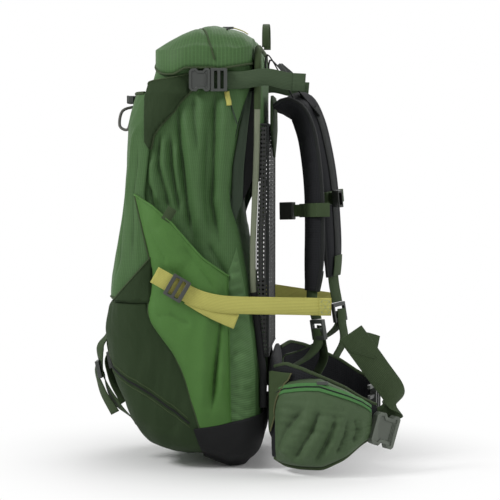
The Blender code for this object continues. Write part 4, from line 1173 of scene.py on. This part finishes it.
def build_belt_end(side, body):
    """The webbing and the half of the buckle at the end of a wing."""
    last = WING_LINE[-1]
    here = Vector(last[:2])
    run = (here - Vector(WING_LINE[-2][:2])).normalized()
    out = Vector((run.y, -run.x))
    mid = (last[2] + last[3]) / 2

    def spot(along, outward, rise=0.0):
        return Vector((*wing_place(side, here + run * along + out * outward), mid + rise))

    if side == "right":
        line = [spot(*p) for p in (
            (-.012, .003), (.010, 0), (.018, 0, .004), (.027, .001, .012), (.030, .006, .022),
            (.022, .011, .040), (-.006, .014, .072), (-.056, .0194, .1291))]
        edge = [(0, y, z) for y, z in (
            (0, 1), (0, 1), (.1, 1), (.3, 1), (.55, .8), (.8, .62), (.8, .6), (.8, .6))]
        web = ribbon("belt_web_right", line, edge, .038, "web", body, count=80)
        back = [spot(*p) for p in (
            (-.0555, .0209, .1283), (-.044, .0205, .1160), (-.030, .0195, .1120), (-.010, .0185, .106))]
        edge = [(0, .8, .6), (0, .7, .7), (0, .3, .95), (0, -.1, 1)]
        ribbon("belt_tail_fold", back, edge, .034, "web", body, count=36)
        ahead = spot(.03, 0) - spot(0, 0) - Vector((0, 0, .010))
        where = basis(spot(.005, .0126, -.014), ahead, spot(0, .02) - spot(0, 0))
        clasp("hip_buckle_female", where, .040, .048, .012, "buckle", body)
    else:
        line = [spot(*p) for p in (
            (-.012, .003), (.002, 0), (.008, 0), (.015, -.003), (.020, -.009), (.0215, -.021))]
        web = ribbon("belt_web_left", line, (0, 0, 1), .038, "web", body, count=40)
        dress("hip_buckle_male", "plastic", .0016)
        dress("hip_buckle_prong_upper", "plastic", .0014)
        dress("hip_buckle_prong_lower", "plastic", .0014)
    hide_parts("belt_webbing_" + side)


def build_hoop():
    """The frame's rod, in an olive sleeve above and a black tube over its foot."""
    bend, bar = .030, .6109
    low, high = ROD_LINE[0][0], ROD_LINE[-1][1]

    def path(start):
        side = [(ROD_X, rod_y(z), z) for z in np.linspace(start, bar - bend, 40)]
        side += [(ROD_X - bend + bend * math.cos(a), high, bar - bend + bend * math.sin(a))
                 for a in np.linspace(.2, math.pi / 2, 8)]
        return side + [(-x, y, z) for x, y, z in reversed(side)]

    hoop = seam("hoop_tube", path(low), ROD_RADIUS, "sleeve", "pack")
    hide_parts("frame_hoop")
    seam("hoop_sleeve", path(.522), SLEEVE_RADIUS, "olive", "pack")
    for side, s in SIDES.items():
        foot = [(s * ROD_X, rod_y(z), z) for z in np.linspace(low - .001, .258, 30)]
        seam("hoop_foot_" + side, foot, SLEEVE_RADIUS, "boot", "pack")


def build_upper_panel():
    low, high, corner = .476, .6055, .026
    rows = []
    for k in shares(40):
        z = low + (high - low) * k
        past = max(0.0, z - (high - corner))
        half = .1158 - (corner - math.sqrt(max(0.0, corner**2 - past**2)))
        thick = .0068 * min(1.0, .45 + 5 * min(k, 1 - k))
        ring = []
        for u, v in oblong(72, .28, .5):
            x, y = u * half, .1156 + v * thick
            ring.append((x, y + lumps(x * 22, z * 22, y * 40) * .0006, z))
        rows.append(ring)
    panel = grid("back_top_cloth", rows, "ripstop", "pack", closed=True, cap="both")
    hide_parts("upper_back_panel")


def build_net():
    """The tension net, round the sides of the frame and hollow in the middle."""
    face, bend = .1308, .004
    rows = []
    for z in np.linspace(NET_LOW, NET_HIGH, 50):
        behind = rod_y(z) + .0050
        row = [(NET_HALF, behind + (face - bend - behind) * k, z) for k in shares(8)]
        row += [(NET_HALF - bend * (1 - math.cos(a)), face - bend + bend * math.sin(a), z)
                for a in np.linspace(.3, math.pi / 2, 4)]
        row += [(x, face - .0015 * (1 - (x / NET_HALF) ** 2), z)
                for x in np.linspace(NET_HALF - .006, 0, 30)]
        rows.append(row + [(-x, y, z) for x, y, z in reversed(row[:-1])])
    net = grid("back_net", rows, "net", "pack", thick=.0008)
    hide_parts("back_mesh")
    seam("net_edge_top", rows[-1], .0018, "dark_web")
    seam("net_edge_foot", rows[0], .0018, "dark_web")
    for side, s in SIDES.items():
        edge = [(s * NET_HALF, .1300, z) for z in np.linspace(NET_LOW, NET_HIGH, 30)]
        seam("net_side_" + side, edge, .0018, "dark_web")


def build_yoke():
    low, high = .453, .544
    rows = []
    for k in shares(30):
        z = low + (high - low) * k
        half = table(z, ((low, .006), (.494, .0855), (.535, .0800), (.545, .060)))
        swell = .0026 * math.sin(math.pi * max(.06, k)) ** .4
        rows.append([(half * t, .1352 + swell * (1 - t**6), z) for t in np.linspace(-1, 1, 50)])
    yoke = grid("yoke_cloth", rows, "dark_olive", "pack", thick=.0036, inside=(0, .10, .50))
    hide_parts("shoulder_yoke")


def build_lumbar():
    """The lumbar pad, with ribs on its outer face."""
    widest = .1245
    rows = []
    for k in shares(44):
        draw = max(0.0, abs(2 * k - 1) - .62) / .38
        half = widest - .030 * draw**2
        ring = []
        for u, v in oblong(80, .4, .6):
            x, outer = u * half, v > 0
            thin = 1 - .55 * max(0.0, abs(x) / widest - .80) / .20 * outer
            rib = .30 * near(math.sin(x * 95), 0, .16) * (abs(x) < .10) + .25 * near(abs(x), .085, .004)
            y = .1366 + v * .0078 * (1 - .55 * draw**2) * thin * (1 - rib * outer)
            ring.append((x, y, .041 + .120 * k))
        rows.append(ring)
    pad = grid("lumbar_cloth", rows, "pad", "pack", closed=True, cap="both")
    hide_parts("lumbar_pad")


def build_haul_loop():
    line = [(.0328 * math.cos(a), .1226, .6166 + .0355 * math.sin(a) ** .6)
            for a in np.linspace(0, math.pi, 40)]
    loop = ribbon("haul_loop_web", line, (0, 1, 0), .0105, "web", "haul", thick=.0022, count=60)
    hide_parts("haul_loop")


def build_straps(side):
    """The two compression straps on one side, with the small zip between them."""
    s = SIDES[side]
    x, z = TOP_HALF + .0013, UPPER_STRAP_Z
    line = [(s * (x + out), y, height) for out, y, height in (
        (0, .028, z), (0, .060, z), (0, .095, z), (.002, .128, .5675), (.003, .158, .5615),
        (.002, .184, .5595))]
    lean = [(k * s, 0, 1) for k in (0, 0, 0, .12, .25, .1)]
    strap = ribbon("upper_web_" + side, line, lean, .025, "strap", None, count=60)
    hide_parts("upper_strap_" + side)
    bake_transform(strap)
    hem = [(s * (x + out), y, height) for out, y, height in (
        (.0045, .166, .5605), (.0042, .176, .5600), (.0036, .1838, .5596))]
    ribbon("upper_hem_" + side, hem, (.1 * s, 0, 1), .025, "strap", "pack", count=12)
    where = basis(Vector((s * .1391, .033, z)), Vector((0, 1, 0)), Vector((s, 0, 0)))
    clasp("upper_buckle_female_" + side, where, .030, .033, .009, "plastic", "pack")
    rail = zip(np.linspace(.0700, .0870, 14), np.linspace(.5500, .5000, 14))
    seam("side_zip_" + side, [(s * bag_skin(*p), *p) for p in rail], .0010, "gusset")
    leaf = [(s * (bag_skin(*p) + .0030), *p) for p in (
        (.0715, .5470), (.0725, .5405), (.0745, .5330), (.0752, .5270))]
    ribbon("side_zip_pull_" + side, leaf, (0, 1, .2), .0075, "yellow", "pack", .0016, 14)
    dress("upper_buckle_male_" + side, "plastic", .0012)
    x = BAG_HALF + .0257

    def sagged(y, z):
        return z - LOWER_SAG[side] * max(0.0, (y - .085) / .137)

    line = [(s * x, y, sagged(y, z)) for y, z in (
        (-.030, .286), (-.012, .276), (.008, .264), (.030, .253), (.055, .246), (.085, .243), (.150, .242),
        (.222, .241))]
    yellow = ribbon("lower_web_" + side, line, (0, .3, 1), .025, "yellow", "pack", count=80)
    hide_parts("lower_strap_" + side)
    hem = [(s * (x + .0019), y, sagged(y, .2411)) for y in (.205, .2135, .2218)]
    ribbon("lower_hem_" + side, hem, (0, 0, 1), .025, "yellow", "pack", count=10)
    middle = (s * (x + .0029), *hem[1][1:])
    box_stitch("lower_hem_stitch_" + side, middle, (0, 1, 0), (0, 0, 1), (s, 0, 0), .012, .018)
    second = [(s * (x - .002), y, z) for y, z in ((.018, .254), (.045, .238), (.070, .226), (.087, .219))]
    ribbon("lower_anchor_" + side, second, (0, .45, .9), .022, "yellow", "pack", count=30)
    dress("lower_lock_" + side, "plastic", .0012)
    tab = [(s * (BAG_HALF + out), y, z) for out, y, z in (
        (.0200, -.0145, .3630), (.0212, -.0085, .3729), (.0205, -.0040, .3804))]
    ribbon("pocket_tab_" + side, tab, (0, .86, -.5), .014, "web", "pack", count=12)


def build_pad_strap(side):
    """The webbing, lock and loose tail on the lower front."""
    s = SIDES[side]
    skin = .0064

    def on_panel(z, more=0.0):
        free = table(z, ((.060, 0), (.090, 1), (.168, 1), (.196, 0)))
        return (s * .062, table(z, PANEL_FRONT) * free + FRONT(z) * (1 - free) - skin - more, z)

    line = [on_panel(z, more) for z, more in (
        (.205, -.0004), (.188, 0), (.172, .005), (.150, .006), (.126, .008), (.104, .009), (.084, .007),
        (.066, .003), (.056, .0012))]
    turn = [(1, s * y, 0) for y in (0, .2, .8, .1, .1, .7, .9, .4, 0)]
    web = ribbon("pad_web_" + side, line, turn, .020, "web", "pack", count=60)
    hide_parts("pad_strap_" + side)
    tail = [on_panel(z, more) for z, more in (
        (.150, .011), (.136, .0165), (.118, .0185), (.098, .019), (.072, .022))]
    turn = [(1, s * y, 0) for y in (0, .1, .5, 1.0, 1.4)]
    tail = ribbon("pad_tail_" + side, tail, turn, .020, "web", None, count=30)
    on_panel(.128, .018)
    on_panel(.080, .018)
    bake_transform(tail)
    dress("pad_lock_" + side, "plastic", .0012)
    box_stitch("pad_stitch_" + side, on_panel(.196, .0012), (0, 0, 1), (1, 0, 0), (0, -1, 0), .016, .014)


def build_cord():
    """The elastic tool cord: its route, the same as the solid's, and its lock."""
    z, front = .516, -.0688
    knots = [Vector((x, front - out, z + rise)) for x, out, rise in (
        (.045, .0006, .0125), (.052, .020, .006), (.056, .024, -.016), (.060, .012, -.022),
        (.064, .006, -.006), (.068, .0006, .0125))]
    ends = [knots[0]] + knots + [knots[-1]]
    line = [cubic(*ends[i:i + 4], u) for i in range(len(knots) - 1)
            for u in shares(6)[:5]] + knots[-1:]
    cord = seam("tool_cord_braid", line, .0022, "cord", "pack")
    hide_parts("tool_cord")
    dress("cord_lock", "plastic", .0016)
    dress("cord_lock_button", "plastic", .0010)


def floor_finish():
    """Pale matt floor that keeps the shadow close by and runs into a white backdrop further out."""
    tree = Tree("studio_floor", .9)
    tree.shader.inputs["Base Color"].default_value = (.90, .90, .90, 1)
    spot = tree.node("NewGeometry")["Position"]
    apart = tree.node("VectorMath", (spot, (0, .08, 0)), "DISTANCE")["Value"]
    far = tree.node("MapRange", (apart, .14, .46))[0]
    far.node.interpolation_type = "SMOOTHSTEP"
    path = tree.node("LightPath")
    seen = tree.math("MAXIMUM", path["Is Camera Ray"], path["Is Glossy Ray"])
    seen = tree.math("MAXIMUM", seen, path["Is Transmission Ray"])
    both = tree.node("MixShader", (tree.mul(far, seen), tree.shader.outputs[0], tree.node("Emission")[0]))
    tree.links.new(both[0], tree.nodes["Material Output"].inputs[0])
    return tree.material


def build_stage():
    data = bpy.data.meshes.new("floor")
    data.from_pydata([(x, y, -.0008) for x, y in ((-9, -9), (9, -9), (9, 9), (-9, 9))], [], [(0, 1, 2, 3)])
    floor = add("floor", data)
    data.materials.append(floor_finish())
    world = bpy.data.worlds.new("studio")
    bpy.context.scene.world = world
    world.use_nodes = True
    nodes, links = world.node_tree.nodes, world.node_tree.links
    path = nodes.new("ShaderNodeLightPath")
    seen = nodes.new("ShaderNodeMath")
    seen.operation = "MAXIMUM"
    links.new(path.outputs["Is Camera Ray"], seen.inputs[0])
    links.new(path.outputs["Is Glossy Ray"], seen.inputs[1])
    strength = nodes.new("ShaderNodeMapRange")
    links.new(seen.outputs[0], strength.inputs[0])
    strength.inputs[3].default_value = .36
    strength.inputs[4].default_value = 1.0
    links.new(strength.outputs[0], nodes["Background"].inputs[1])
    nodes["Background"].inputs[0].default_value = (1, 1, 1, 1)
    for name, spot, size, power in (("key", (1.3, -2.1, 2.3), 0.9, 64), ("fill", (2.2, 1.7, .9), 1.8, 12),
                                    ("rim", (-1.6, .6, 2.2), 1.5, 22), ("back", (.2, 2.4, 1.6), 1.6, 16)):
        light = bpy.data.lights.new(name, "AREA")
        light.energy, light.size = power, size
        lamp = add(name, light)
        lamp.location = spot
        lamp.rotation_euler = (Vector((0, .05, .3)) - Vector(spot)).to_track_quat("-Z", "Y").to_euler()


def build_camera():
    target, distance, span = Vector((0, .0978, .3128)), 2.6, .758
    a, e = math.radians(93), math.radians(3)
    back = Vector((math.sin(a) * math.cos(e), -math.cos(a) * math.cos(e), math.sin(e)))
    data = bpy.data.cameras.new("camera")
    data.sensor_width = 36
    data.lens = 18 / (span / 2 / distance)
    camera = add("camera", data)
    camera.location = target + back * distance
    camera.rotation_euler = (-back).to_track_quat("-Z", "Y").to_euler()
    bpy.context.scene.camera = camera


def main():
    bpy.context.scene.view_settings.view_transform = "Standard"
    # The side pieces lie on the front pocket, so it comes before them.
    for build in (build_camera, build_stage, build_cord, build_bag, build_boot, build_lower_panel,
                  build_front_pocket, build_lid, build_hoop, build_upper_panel, build_net, build_yoke,
                  build_lumbar, build_haul_loop):
        build()
    for side in SIDES:
        for build in (build_gusset, build_wing, build_strip, build_side_pocket, build_shoulder, build_hip,
                      build_straps, build_pad_strap):
            build(side)


main()
